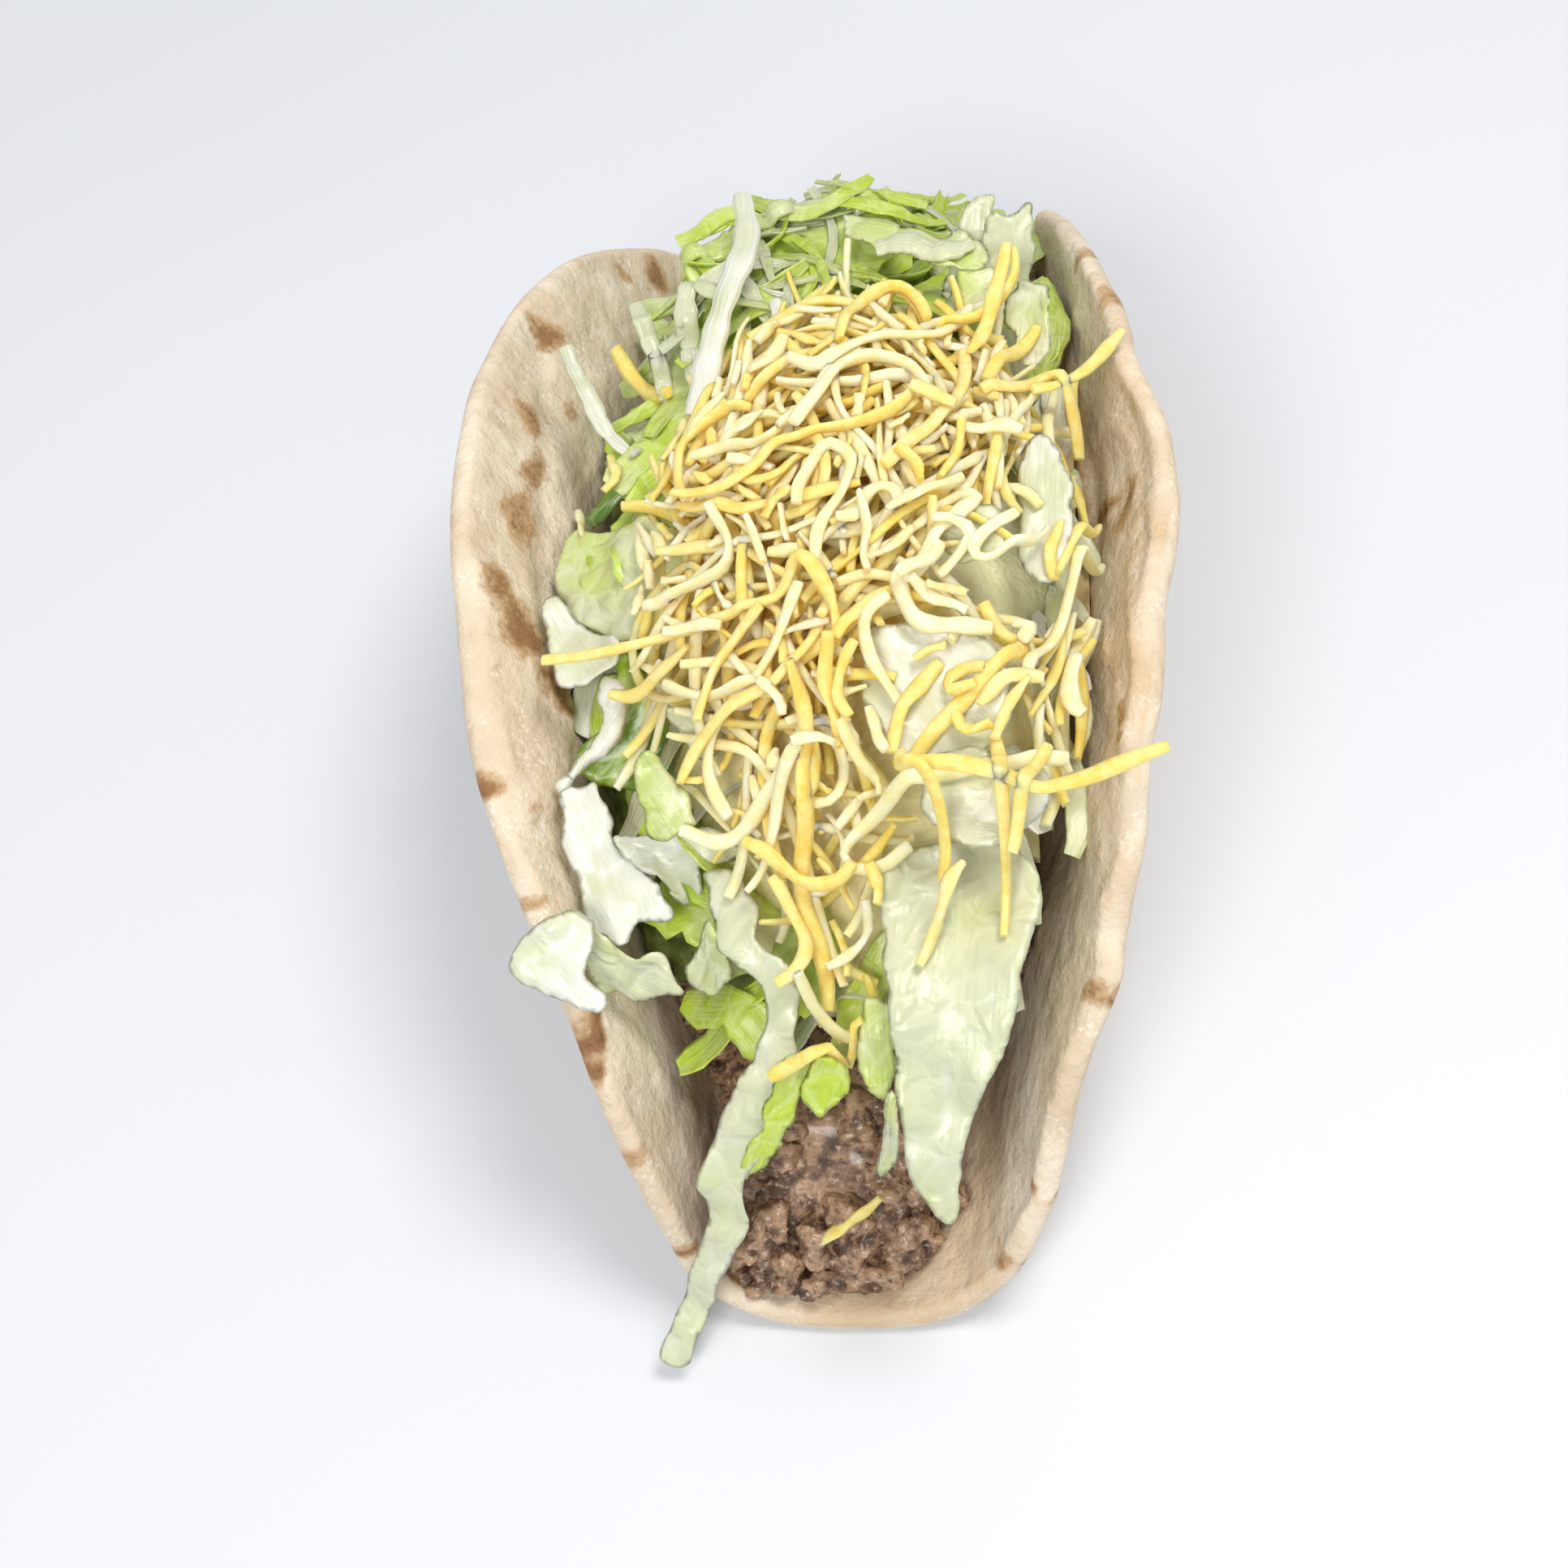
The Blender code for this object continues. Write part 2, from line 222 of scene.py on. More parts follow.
sheet = dict(
    radius=0.0762, thickness=0.0027, flat=(0.0078, 0.0026), bend=(0.0125, 0.0029, 0.0047),
    lean={-1: (69.9, -2.9, 5.3), 1: (71.8, 10.5, 11.2)}, mostLean=86.0,
    lipLength=0.017, lipFlare={-1: 20.0, 1: 9.0},
    rings=96, spokes=330, lipRings=7, foldSteps=56,
    # small tear in the right rim: where and half width in radians round the disc, and strength
    tears=((-0.735, 0.022, 1.0), (-0.69, 0.03, 0.6)), tearDepth=0.016, outerMarks=85,
    dough=(0.69, 0.565, 0.41), pale=(0.80, 0.70, 0.55), tan=(0.61, 0.48, 0.32), freckle=(0.52, 0.39, 0.24),
    flour=(0.95, 0.92, 0.85), greaseAndShadeBrown=(0.58, 0.40, 0.21), toastAndShadow=(0.47, 0.28, 0.12), brown=(0.26, 0.125, 0.045),
    burnt=(0.15, 0.07, 0.03),
)


def wallAngle(across, along):
    k = along / sheet["radius"]
    reach = np.abs(across)
    left = across < 0
    leans = [even + slope * k + curve * k * k for even, slope, curve in (sheet["lean"][-1], sheet["lean"][1])]
    lean = np.where(left, *leans)
    lean = np.radians(np.minimum(lean, sheet["mostLean"]))
    bend = sheet["bend"][0] + sheet["bend"][1] * k + sheet["bend"][2] * k * k
    flat = sheet["flat"][0] - sheet["flat"][1] * k * k
    rim = np.sqrt(np.maximum(0.0, sheet["radius"] ** 2 - along * along))
    lip = ease((reach - rim + sheet["lipLength"]) / sheet["lipLength"]) * ease(1.5 * rim / sheet["radius"] - 0.4)
    flare = np.radians(np.where(left, sheet["lipFlare"][-1], sheet["lipFlare"][1])) * lip
    return np.maximum(0.0, np.minimum(lean, np.maximum(0.0, reach - flat) / bend) - flare)


def fold(across, along, steps):
    # outer point of the folded sheet and its slope, for places on the flat disc
    side = np.where(across < 0, -1.0, 1.0)
    x = z = 0.0
    for step in range(steps):
        angle = wallAngle(across * (step + 0.5) / steps, along)
        x = x + np.abs(across) / steps * np.cos(angle)
        z = z + np.abs(across) / steps * np.sin(angle)
    return side * x, z, side * wallAngle(across, along)


# across, along, half size across, half size along, strength; all but the strength in mm
scorches = (
    (-65.3, 30.0, 2.6, 2.6, 0.8), (-67.3, 15.0, 2.2, 3.0, 0.6), (-66.0, 8.0, 2.0, 4.0, 0.55),
    (-68.4, 0.0, 2.4, 5.0, 0.55),
    (-71.0, -13.0, 3.0, 3.6, 0.75), (-67.5, -16.5, 3.6, 3.8, 0.8), (-63.0, -20.5, 3.2, 2.4, 0.85),
    (-59.5, -22.5, 2.4, 1.6, 0.8),
    (-72.5, -26.0, 1.5, 1.5, 0.7), (-67.2, -35.8, 2.2, 1.5, 0.8), (-50.0, -55.6, 1.6, 1.6, 1.0),
    (-48.8, -57.8, 1.7, 1.9, 1.1), (-47.4, -60.2, 1.1, 1.7, 0.95),
    (-37.0, -65.5, 1.2, 1.4, 0.85), (-24.5, -70.5, 1.0, 1.2, 0.8), (-15.2, -72.5, 1.2, 1.0, 0.9),
    (22.5, -71.2, 1.0, 1.8, 0.85),
    (31.8, -68.0, 1.2, 1.8, 0.75), (51.5, -54.0, 1.5, 2.0, 0.6), (66.5, -32.0, 1.4, 4.0, 0.5),
    (70.0, -4.5, 1.8, 4.5, 0.7),
    (64.5, -2.5, 4.5, 1.4, 0.75), (-46.5, 55.0, 2.4, 3.2, 0.8), (-52.0, 50.0, 1.6, 2.0, 0.6),
    (72.0, 22.0, 1.6, 2.6, 0.6),
    (68.7, 32.0, 1.8, 1.8, 0.5), (-60.0, -47.0, 1.5, 1.5, 0.5), (-61.0, 20.0, 1.6, 2.4, 0.45),
)


def scorchField(across, along, marks, seed):
    place = np.stack([across, along, across * 0], -1)
    shiftA = cloud(place, 3.2 * mm, seed) * 1.1 * mm + cloud(place, 1.3 * mm, seed + 1) * 0.45 * mm
    shiftB = cloud(place, 3.0 * mm, seed + 2) * 1.1 * mm + cloud(place, 1.2 * mm, seed + 3) * 0.45 * mm
    field = np.zeros_like(across)
    for a, b, halfA, halfB, strength in marks:
        away = np.hypot((across + shiftA - a * mm) / (halfA * mm), (along + shiftB - b * mm) / (halfB * mm))
        field = np.maximum(field, strength * (1.0 - ease((away - 0.35) / 1.0)))
    return field


def randomMarks(count, seed):
    rng = np.random.default_rng(seed)
    marks = []
    for _ in range(count):
        reach, turn = 72.0 * math.sqrt(rng.random()), rng.random() * 2 * math.pi
        size = rng.choice((1.1, 1.7, 2.6, 4.2), p=(0.4, 0.3, 0.2, 0.1))
        spread = rng.uniform(0.7, 1.5)
        strength = rng.uniform(0.45, 1.0)
        marks.append((reach * math.cos(turn), reach * math.sin(turn), size * spread, size / spread, strength))
    return marks


def tortillaLook():
    made, board = material("tortilla", 0.68, 0.30, (1.0, 0.72, 0.45), 0.9 * mm, specular=0.35)
    charAndShadow, greaseAndCreaseShade = board.attribute("charAndShadow"), board.attribute("greaseAndCreaseShade")
    patch = board.grain(12 * mm, 3.0, 0.6).between(0.36, 0.64)
    mottle = board.grain(4.6 * mm, 2.5, 0.55)
    small = board.grain(1.7 * mm, 4.0, 0.65)
    speck = board.grain(0.55 * mm, 3.0, 0.6)
    base = board.mix(sheet["dough"], sheet["pale"], patch)
    base = board.mix(base, sheet["tan"], mottle.between(0.56, 0.74) * 0.40)
    base = board.mix(base, sheet["freckle"], small.between(0.60, 0.76) * 0.28)
    base = board.mix(base, sheet["flour"], speck.between(0.50, 0.66) * mottle.between(0.52, 0.36) * 0.6)
    # greasy colour near the filling, and painted shade in the right wall's creases
    base = board.mix(base, sheet["greaseAndShadeBrown"], greaseAndCreaseShade * (0.45 + mottle * 0.6))
    edge = small * 0.9 + speck * 0.6 + mottle * 0.5 - 1.0
    # scorch marks, and the painted shadow under the torn skin's lip, in toast to burnt browns
    heatAndShadow = charAndShadow + edge * 0.9 * charAndShadow.between(0.02, 0.3)
    base = board.mix(base, sheet["toastAndShadow"], heatAndShadow.between(0.10, 0.45) * 0.75)
    base = board.mix(base, sheet["brown"], heatAndShadow.between(0.40, 0.80) * 0.85)
    base = board.mix(base, sheet["burnt"], heatAndShadow.between(0.85, 1.2) * 0.8)
    rough = 0.62 + mottle * 0.25 - greaseAndCreaseShade * 0.30
    plug(board, base, rough, [(mottle, 0.8 * mm), (small, 0.35 * mm), (speck, 0.12 * mm)])
    return made


def buildTortilla():
    radius, thick = sheet["radius"], sheet["thickness"]
    lipStart = 1.0 - thick / 2 / radius
    inside = np.linspace(0.0, 1.0, sheet["rings"] + 1)[1:] * lipStart
    lip = lipStart + (1.0 - lipStart) * np.sin(np.linspace(0.0, math.pi / 2, sheet["lipRings"] + 1))[1:]
    rings = np.concatenate([inside, lip])
    turns = np.linspace(0.0, 2 * math.pi, sheet["spokes"], endpoint=False)
    ring, turn = np.meshgrid(rings, turns, indexing="ij")
    ring, turn = ring.ravel(), turn.ravel()
    ring, turn = np.append(ring, 0.0), np.append(turn, 0.0)
    # a small tear in the right rim, and a rim that isn't quite round
    around = np.stack([np.cos(turn), np.sin(turn), turn * 0], -1)
    size = 1.0 + 0.006 * cloud(around, 0.30, 5) + 0.003 * cloud(around, 0.11, 6)
    tear = sum(much * np.exp(-(((turn - 2 * math.pi - at) / wide) ** 2)) for at, wide, much in sheet["tears"])
    size = size - sheet["tearDepth"] * tear * ease((ring - 0.9) / 0.1)
    across, along = radius * ring * size * np.cos(turn), radius * ring * size * np.sin(turn)
    x, z, angle = fold(across, np.clip(along, -radius, radius), sheet["foldSteps"])
    body = np.sqrt(np.maximum(0.0, 1.0 - np.maximum(0.0, (ring - lipStart) / (1.0 - lipStart)) ** 2))
    normal = np.stack([-np.sin(angle), across * 0, np.cos(angle)], -1)
    point = np.stack([x, along, z], -1)
    flatPlace = np.stack([across, along, across * 0], -1)
    left, right = across < 0, across > 0
    # the rim's waves move both faces
    wave = cloud(flatPlace, 24 * mm, 11) * 1.5 + cloud(flatPlace, 11 * mm, 12) * np.where(right, 0.9, 0.3)
    wave = wave * mm * ease((ring - 0.55) / 0.45) * ease((z - 4 * mm) / (12 * mm))
    a, b = across / mm, along / mm
    # far left corner turns in a little; the left rim rolls out
    curl = np.exp(-(((b - 56.0) / 12.0) ** 2)) * ease((ring - 0.86) / 0.14) * left
    wave = wave + 1.2 * mm * curl
    # blisters, a lifted skin on the left wall, and lengthwise creases on the right wall
    blister = ease((cloud(flatPlace, 9 * mm, 21) - 0.12) / 0.25) * 0.34
    blister = blister + ease((cloud(flatPlace, 5 * mm, 22) - 0.25) / 0.2) * 0.22
    grit = cloud(flatPlace, 2.2 * mm, 23) * 0.10 + cloud(flatPlace, 1.1 * mm, 24) * 0.05
    ragged = cloud(flatPlace, 4 * mm, 25) * 0.9 + cloud(flatPlace, 1.8 * mm, 26) * 0.4
    flapEdge = ease((b + 38.0 + ragged) / 0.9) * ease((-58.5 - a + ragged) / 1.0) * ease((-4.0 - b) / 12.0)
    flap = 0.95 * flapEdge * ease((76.0 - np.hypot(a, b)) / 2.0)
    crease = cloud(np.stack([across, along * 0.16, across * 0], -1), 2.6 * mm, 27)
    crease = (1.0 - np.abs(crease)) ** 3 * 0.75 * ease((a - 52.0) / 8.0)
    crease = crease * ease((15.0 - b) / 14.0) * ease((b + 62.0) / 14.0)
    groove = -0.55 * np.exp(-(((-a - 64.5 - 0.05 * b) / 1.4) ** 2)) * left
    groove = groove * ease((b + 30.0) / 20.0) * ease((45.0 - b) / 18.0)
    innerRelief = (blister + grit + flap + crease + groove) * mm
    outerRelief = (ease((cloud(flatPlace, 10 * mm, 31) - 0.1) / 0.3) * 0.3 + cloud(flatPlace, 3 * mm, 32) * 0.1) * mm
    outerRelief = outerRelief * ease((z - 0.4 * mm) / (2 * mm))
    half = thick / 2
    outer = point + normal * (wave + half - (half + outerRelief) * body)[:, None]
    inner = point + normal * (wave + half + (half + innerRelief) * body)[:, None]
    outer[:, 2] = np.maximum(outer[:, 2], 0.0)
    spokes, count = sheet["spokes"], len(rings)
    points = np.concatenate([outer, inner])
    shift = len(outer)

    def index(layer, i, j):
        # the two faces share the outermost ring
        j %= spokes
        return i * spokes + j if i == count - 1 else layer * shift + i * spokes + j

    faces = []
    for layer in (0, 1):
        for i in range(count - 1):
            for j in range(spokes):
                quad = [index(layer, *place) for place in ((i, j), (i + 1, j), (i + 1, j + 1), (i, j + 1))]
                faces.append(quad if layer else quad[::-1])
        middle = layer * shift + len(outer) - 1
        for j in range(spokes):
            triangle = [middle, index(layer, 0, j), index(layer, 0, j + 1)]
            faces.append(triangle if layer else triangle[::-1])
    charAndShadowInner = scorchField(across, along, scorches, 41)
    # painted shadow under the torn lip of the lifted skin, carried with the scorch marks
    lipShadow = 0.35 * flapEdge * np.exp(-(((b + 37.5 + ragged) / 1.1) ** 2)) * ease((76 - np.hypot(a, b)) / 3)
    charAndShadowInner = np.maximum(charAndShadowInner, lipShadow)
    charAndShadowOuter = scorchField(across, along, randomMarks(sheet["outerMarks"], 7), 51)
    blend = ease((ring - 0.965) / 0.035)
    charAndShadowOuter = charAndShadowOuter * (1 - blend) + charAndShadowInner * blend
    # greasy inside the fold near the filling, and painted shade, brown, in the right wall's creases
    deep = ease((15.0 - z / mm) / 9.0) * ease((np.abs(b) - 30.0) / 20.0) * ease((a + 14.0) / 12.0)
    greaseAndCreaseShadeInner = np.maximum(0.55 * deep, 0.75 * ease((crease - 0.30) / 0.35) * ease((a - 50.0) / 6.0))
    values = {
        "charAndShadow": np.concatenate([charAndShadowOuter, charAndShadowInner]), "greaseAndCreaseShade": np.concatenate([greaseAndCreaseShadeInner * 0.0, greaseAndCreaseShadeInner]),
    }
    made = meshObject("tortillaShell", points, faces, tortillaLook(), values)
    bm = bmesh.new()
    bm.from_mesh(made.data)
    loose = [vertex for vertex in bm.verts if not vertex.link_faces]
    bmesh.ops.delete(bm, geom=loose, context="VERTS")
    bmesh.ops.recalc_face_normals(bm, faces=bm.faces)
    bm.to_mesh(made.data)
    bm.free()
    show(made, "tortilla", "tortilla")


# Filling heights, on a grid seen from above

heap = dict(
    centreY=-0.005, length={-1: 0.0670, 1: 0.0780}, crest=0.0600, power={-1: 0.75, 1: 0.50},
    crestX=0.0030, drop={-1: 18.0, 1: 13.5}, beefHeight=0.0270, beefHalf=0.0738, beefPower=5,
    cheeseCentre=(0.0050, -0.0170), cheeseHalf=(0.0250, 0.0410), cheeseDepth=0.0085,
)
gridStep = 0.5 * mm
gridX = np.arange(-46.0, 46.01, 0.5) * mm
gridY = np.arange(-92.0, 86.01, 0.5) * mm


def lettuceTop(x, y):
    near = y < heap["centreY"]
    reach = (y - heap["centreY"]) / np.where(near, heap["length"][-1], heap["length"][1])
    power = np.where(near, heap["power"][-1], heap["power"][1])
    crest = heap["crest"] * np.maximum(0.0, 1.0 - reach * reach) ** power
    drop = np.where(x < heap["crestX"], heap["drop"][-1], heap["drop"][1])
    return crest - drop * (x - heap["crestX"]) ** 2


def cheeseAway(x, y):
    # 0 in the middle of the cheese, 1 on its edge
    (centreX, centreY), (halfX, halfY) = heap["cheeseCentre"], heap["cheeseHalf"]
    return np.hypot((x - centreX) / halfX, (y - centreY) / halfY)


def cheeseTop(x, y):
    away = np.minimum(1.0, cheeseAway(x, y))
    return lettuceTop(x, y) + heap["cheeseDepth"] * np.sqrt(1.0 - away * away)


def beefTop(y):
    end = np.minimum(1.0, np.abs(y) / heap["beefHalf"]) ** heap["beefPower"]
    return heap["beefHeight"] * np.sqrt(1.0 - end)


def floorGrid():
    # height of the tortilla's inner face over the grid, -1 outside it
    floor = np.full((len(gridX), len(gridY)), -1.0)
    for j, y in enumerate(gridY):
        if abs(y) >= sheet["radius"] - 0.5 * mm:
            continue
        rim = math.sqrt(sheet["radius"] ** 2 - y * y)
        across = np.linspace(-rim, rim, 121)
        x, z, angle = fold(across, np.full_like(across, y), 40)
        x, z = x - sheet["thickness"] * np.sin(angle), z + sheet["thickness"] * np.cos(angle)
        inside = (gridX >= x[0]) & (gridX <= x[-1])
        floor[inside, j] = np.interp(gridX[inside], x, z)
    return floor


def cellOf(x, y):
    return int(round((x - gridX[0]) / gridStep)), int(round((y - gridY[0]) / gridStep))


class Field:
    def __init__(self, height):
        self.height = height

    def at(self, x, y):
        i = np.clip((x - gridX[0]) / gridStep, 0, len(gridX) - 1.001)
        j = np.clip((y - gridY[0]) / gridStep, 0, len(gridY) - 1.001)
        i0, j0 = i.astype(int), j.astype(int)
        fi, fj = i - i0, j - j0
        h = self.height
        low = h[i0, j0] * (1 - fi) + h[i0 + 1, j0] * fi
        high = h[i0, j0 + 1] * (1 - fi) + h[i0 + 1, j0 + 1] * fi
        return low * (1 - fj) + high * fj

    def stamp(self, points, halfWidth, halfThick):
        # raises the grid to the top of a strand that passes through the points
        dense = resample(points, gridStep)
        reach = int(math.ceil(halfWidth / gridStep))
        offsets = np.arange(-reach, reach + 1)
        for x, y, z in dense:
            i, j = cellOf(x, y)
            if not (reach <= i < len(gridX) - reach and reach <= j < len(gridY) - reach):
                continue
            di = (gridX[i + offsets] - x)[:, None]
            dj = (gridY[j + offsets] - y)[None, :]
            away = (di * di + dj * dj) / halfWidth ** 2
            top = np.where(away < 1.0, z + halfThick * np.sqrt(np.maximum(0.0, 1.0 - away)), -1.0)
            patch = self.height[i - reach:i + reach + 1, j - reach:j + reach + 1]
            np.maximum(patch, top, out=patch)


def resample(points, step):
    points = np.asarray(points, float)
    gaps = np.linalg.norm(np.diff(points, axis=0), axis=1)
    length = np.concatenate([[0.0], np.cumsum(gaps)])
    count = max(2, int(math.ceil(length[-1] / step)) + 1)
    want = np.linspace(0.0, length[-1], count)
    return np.stack([np.interp(want, length, points[:, axis]) for axis in range(points.shape[1])], -1)


def roundBend(p0, p1, p2, p3, t):
    # Catmull-Rom between p1 and p2
    early, late = 2 * p0 - 5 * p1 + 4 * p2 - p3, 3 * p1 - p0 - 3 * p2 + p3
    return 0.5 * (2 * p1 + (p2 - p0) * t + early * t ** 2 + late * t ** 3)


def smoothLine(points, step):
    # a smooth line through the points, in even steps
    points = np.asarray(points, float)
    ends = np.concatenate([[2 * points[0] - points[1]], points, [2 * points[-1] - points[-2]]])
    t = np.linspace(0.0, 1.0, 14, endpoint=False)[:, None]
    line = []
    for i in range(len(points) - 1):
        p0, p1, p2, p3 = ends[i:i + 4]
        line.append(roundBend(p0, p1, p2, p3, t))
    line.append(points[-1:])
    return resample(np.concatenate(line), step)


def smoothLoop(points, step):
    t = np.linspace(0.0, 1.0, 14, endpoint=False)[:, None]
    p0, p1, p2, p3 = [np.roll(points, shift, axis=0)[:, None] for shift in (1, 0, -1, -2)]
    line = roundBend(p0, p1, p2, p3, t)
    line = line.reshape(-1, points.shape[1])
    return resample(np.concatenate([line, line[:1]]), step)[:-1]


def layDown(field, path, halfWidth, halfThick, rounds=30):
    # lets a strand's plan path rest on what is under it
    slope = np.gradient(path, axis=0)
    side = np.stack([-slope[:, 1], slope[:, 0]], -1)
    side = side / np.maximum(1e-9, np.linalg.norm(side, axis=1))[:, None]
    support = field.at(path[:, 0], path[:, 1])
    for reach in (-0.8, 0.8):
        support = np.maximum(support, field.at(*(path + side * halfWidth * reach).T) - 0.15 * halfWidth)
    rest = support + halfThick
    z = rest.copy()
    for _ in range(rounds):
        lifted = z.copy()
        lifted[1:-1] = 0.25 * z[:-2] + 0.5 * z[1:-1] + 0.25 * z[2:]
        lifted[0], lifted[-1] = 0.5 * (z[0] + z[1]), 0.5 * (z[-1] + z[-2])
        z = np.maximum(lifted - 0.03 * mm, rest)
    z[1:-1] = 0.25 * z[:-2] + 0.5 * z[1:-1] + 0.25 * z[2:]
    return np.column_stack([path, z])


def frameNormals(points, lean):
    # up-facing normals square to the path, turned about it by lean
    ahead = np.gradient(points, axis=0)
    ahead = ahead / np.maximum(1e-9, np.linalg.norm(ahead, axis=1))[:, None]
    side = np.cross(np.broadcast_to((0.0, 0.0, 1.0), ahead.shape), ahead)
    side = side / np.maximum(1e-9, np.linalg.norm(side, axis=1))[:, None]
    normal = np.cross(ahead, side)
    lean = np.broadcast_to(lean, len(points))[:, None]
    return normal * np.cos(lean) + side * np.sin(lean)


# Swept strips: one tree for cheese strands and lettuce

def treeInputs(tree, sockets):
    for name, kind, value in sockets:
        made = tree.interface.new_socket(name, in_out="INPUT", socket_type=kind)
        if value is not None:
            made.default_value = value
    tree.interface.new_socket("Geometry", in_out="OUTPUT", socket_type="NodeSocketGeometry")
    board = Board(tree)
    entry = tree.nodes.new("NodeGroupInput")
    return board, {socket.name: Wire(board, socket) for socket in entry.outputs if socket.name}


def treeEnd(board, shape, look):
    smooth = board.node("GeometryNodeSetShadeSmooth", None, {"Geometry": shape, "Shade Smooth": True})
    real = board.node("GeometryNodeRealizeInstances", None, {"Geometry": smooth})
    painted = board.node("GeometryNodeSetMaterial", None, {"Geometry": real, "Material": look})
    leave = board.tree.nodes.new("NodeGroupOutput")
    board.tree.links.new(painted.socket, leave.inputs[0])
    return board.tree


def sweepTree():
    tree = bpy.data.node_groups.new("sweptStrips", "GeometryNodeTree")
    sockets = (
        ("Geometry", "NodeSocketGeometry", None), ("Thickness", "NodeSocketFloat", 0.7),
        ("Corners", "NodeSocketInt", 8), ("Ruffle Size", "NodeSocketFloat", 0.005),
        ("Ruffle Power", "NodeSocketFloat", 1.5), ("Grain", "NodeSocketFloat", 0.0),
        ("Seed", "NodeSocketFloat", 0.0), ("Material", "NodeSocketMaterial", None),
    )
    board, given = treeInputs(tree, sockets)

    def named(name, kind="FLOAT"):
        return board.node("GeometryNodeInputNamedAttribute", {"data_type": kind}, {"Name": name})

    line = board.node("GeometryNodeMeshToCurve", None, {"Mesh": given["Geometry"]})
    facing = named("facing", "FLOAT_VECTOR")
    line = board.node("GeometryNodeSetCurveNormal", {"mode": "FREE"}, {"Curve": line, "Normal": facing})
    corners = {"Resolution": given["Corners"], "Radius": 1.0}
    circle = board.node("GeometryNodeCurvePrimitiveCircle", {"mode": "RADIUS"}, corners)
    turned = board.node("GeometryNodeTransform", None, {"Geometry": circle, "Rotation": (0.0, 0.0, math.pi / 8)})
    here = board.node("GeometryNodeInputPosition")
    marked = board.node(
        "GeometryNodeStoreNamedAttribute", {"data_type": "FLOAT", "domain": "POINT"},
        {"Geometry": turned, "Name": "across", "Value": board.axis(here, 1)},
    )
    thin = board.node("ShaderNodeCombineXYZ", None, {0: given["Thickness"], 1: 1.0, 2: 1.0})
    flat = board.node("GeometryNodeTransform", None, {"Geometry": marked, "Scale": thin})
    body = board.node(
        "GeometryNodeCurveToMesh", None,
        {"Curve": line, "Profile Curve": flat, "Scale": named("wide"), "Fill Caps": True},
    )
    away = board.node("ShaderNodeMath", {"operation": "ABSOLUTE"}, {0: named("across")})
    seedShift = board.node("ShaderNodeCombineXYZ", None, {0: given["Seed"], 1: given["Seed"] * 1.7, 2: 0.0})
    wobble = board.node(
        "ShaderNodeTexNoise", {"noise_dimensions": "3D"},
        {"Vector": here / given["Ruffle Size"] + seedShift, "Scale": 1.0, "Detail": 1.5, "Roughness": 0.5},
    )
    lift = (wobble - 0.5) * 2.0 * named("ruffle") * away ** given["Ruffle Power"] + named("cup") * away * away
    pitted = {"Vector": here * 1100.0, "Scale": 1.0, "Detail": 2.0}
    pits = board.node("ShaderNodeTexNoise", {"noise_dimensions": "3D"}, pitted)
    normal = board.node("GeometryNodeInputNormal")
    offset = named("facing", "FLOAT_VECTOR") * lift + normal * ((pits - 0.5) * given["Grain"])
    moved = board.node("GeometryNodeSetPosition", None, {"Geometry": body, "Offset": offset})
    return treeEnd(board, moved, given["Material"])


def addTree(made, tree, values):
    modifier = made.modifiers.new(tree.name, "NODES")
    modifier.node_group = tree
    for item in tree.interface.items_tree:
        if item.item_type == "SOCKET" and item.in_out == "INPUT" and item.name in values:
            modifier[item.identifier] = values[item.name]


def sweep(name, strips, look, shape):
    # strips: dicts of points, facing, wide, tone, ruffle and cup
    points, edges, start = [], [], 0
    columns = {key: [] for key in ("wide", "tone", "ruffle", "cup", "run")}
    facing = []
    for strip in strips:
        count = len(strip["points"])
        points.append(strip["points"])
        facing.append(strip["facing"])
        edges += [(start + i, start + i + 1) for i in range(count - 1)]
        for key in ("wide", "tone", "ruffle", "cup"):
            columns[key].append(np.broadcast_to(strip.get(key, 0.0), count))
        columns["run"].append(np.linspace(0.0, 1.0, count))
        start += count
    mesh = bpy.data.meshes.new(name)
    mesh.from_pydata(np.concatenate(points).tolist(), edges, [])
    for key, parts in columns.items():
        made = mesh.attributes.new(key, "FLOAT", "POINT")
        made.data.foreach_set("value", np.concatenate(parts).astype(np.float32))
    made = mesh.attributes.new("facing", "FLOAT_VECTOR", "POINT")
    made.data.foreach_set("vector", np.concatenate(facing).astype(np.float32).ravel())
    made = bpy.data.objects.new(name, mesh)
    bpy.context.scene.collection.objects.link(made)
    addTree(made, stripsTree, dict(shape, Material=look))
    settle(made)
    faceOut(made)
    return made


# Cheese

cheese = dict(
    seed=2024,
    # layer, count, shortest and longest, and how far over the heap's own height it may rise; lengths in mm
    layers=(
        ("matted", 420, 8.0, 30.0, 0.6), ("loose", 240, 12.0, 32.0, 2.0), ("middle", 60, 5.0, 20.0, 2.4),
        ("wall", 60, 6.0, 20.0, 3.0), ("bits", 110, 2.0, 7.0, 2.4),
    ),
    # centres of these layers in mm: x from and to, y from and to
    boxes={"middle": (8, 24, -46, -16), "wall": (20, 29, -50, 18)},
    tries=25, reach=0.98, overhang=1.14, half=(0.48, 0.86), steepest=1.7, straightShare=0.75,
    bendRadii=(30, 9), wanderRadius=11, headings={"wall": (1.5, 0.3)}, heading=(0.9, 1.0),
    yellowShare={"matted": 0.7}, otherYellow=0.4, yellowTone=(0.12, 0.12), creamTone=(0.80, 0.15),
    restAt=0.75, markAt=0.7, topWidth=0.37,
    underShape={"Thickness": 0.58, "Corners": 6, "Grain": 0.08 * mm},
    topShape={"Thickness": 0.60, "Corners": 8, "Grain": 0.09 * mm},
    yellow=((0.98, 0.60, 0.12), (0.99, 0.72, 0.24)), cream=((0.98, 0.83, 0.44), (0.99, 0.91, 0.62)),
    wash=(0.98, 0.89, 0.55),
)


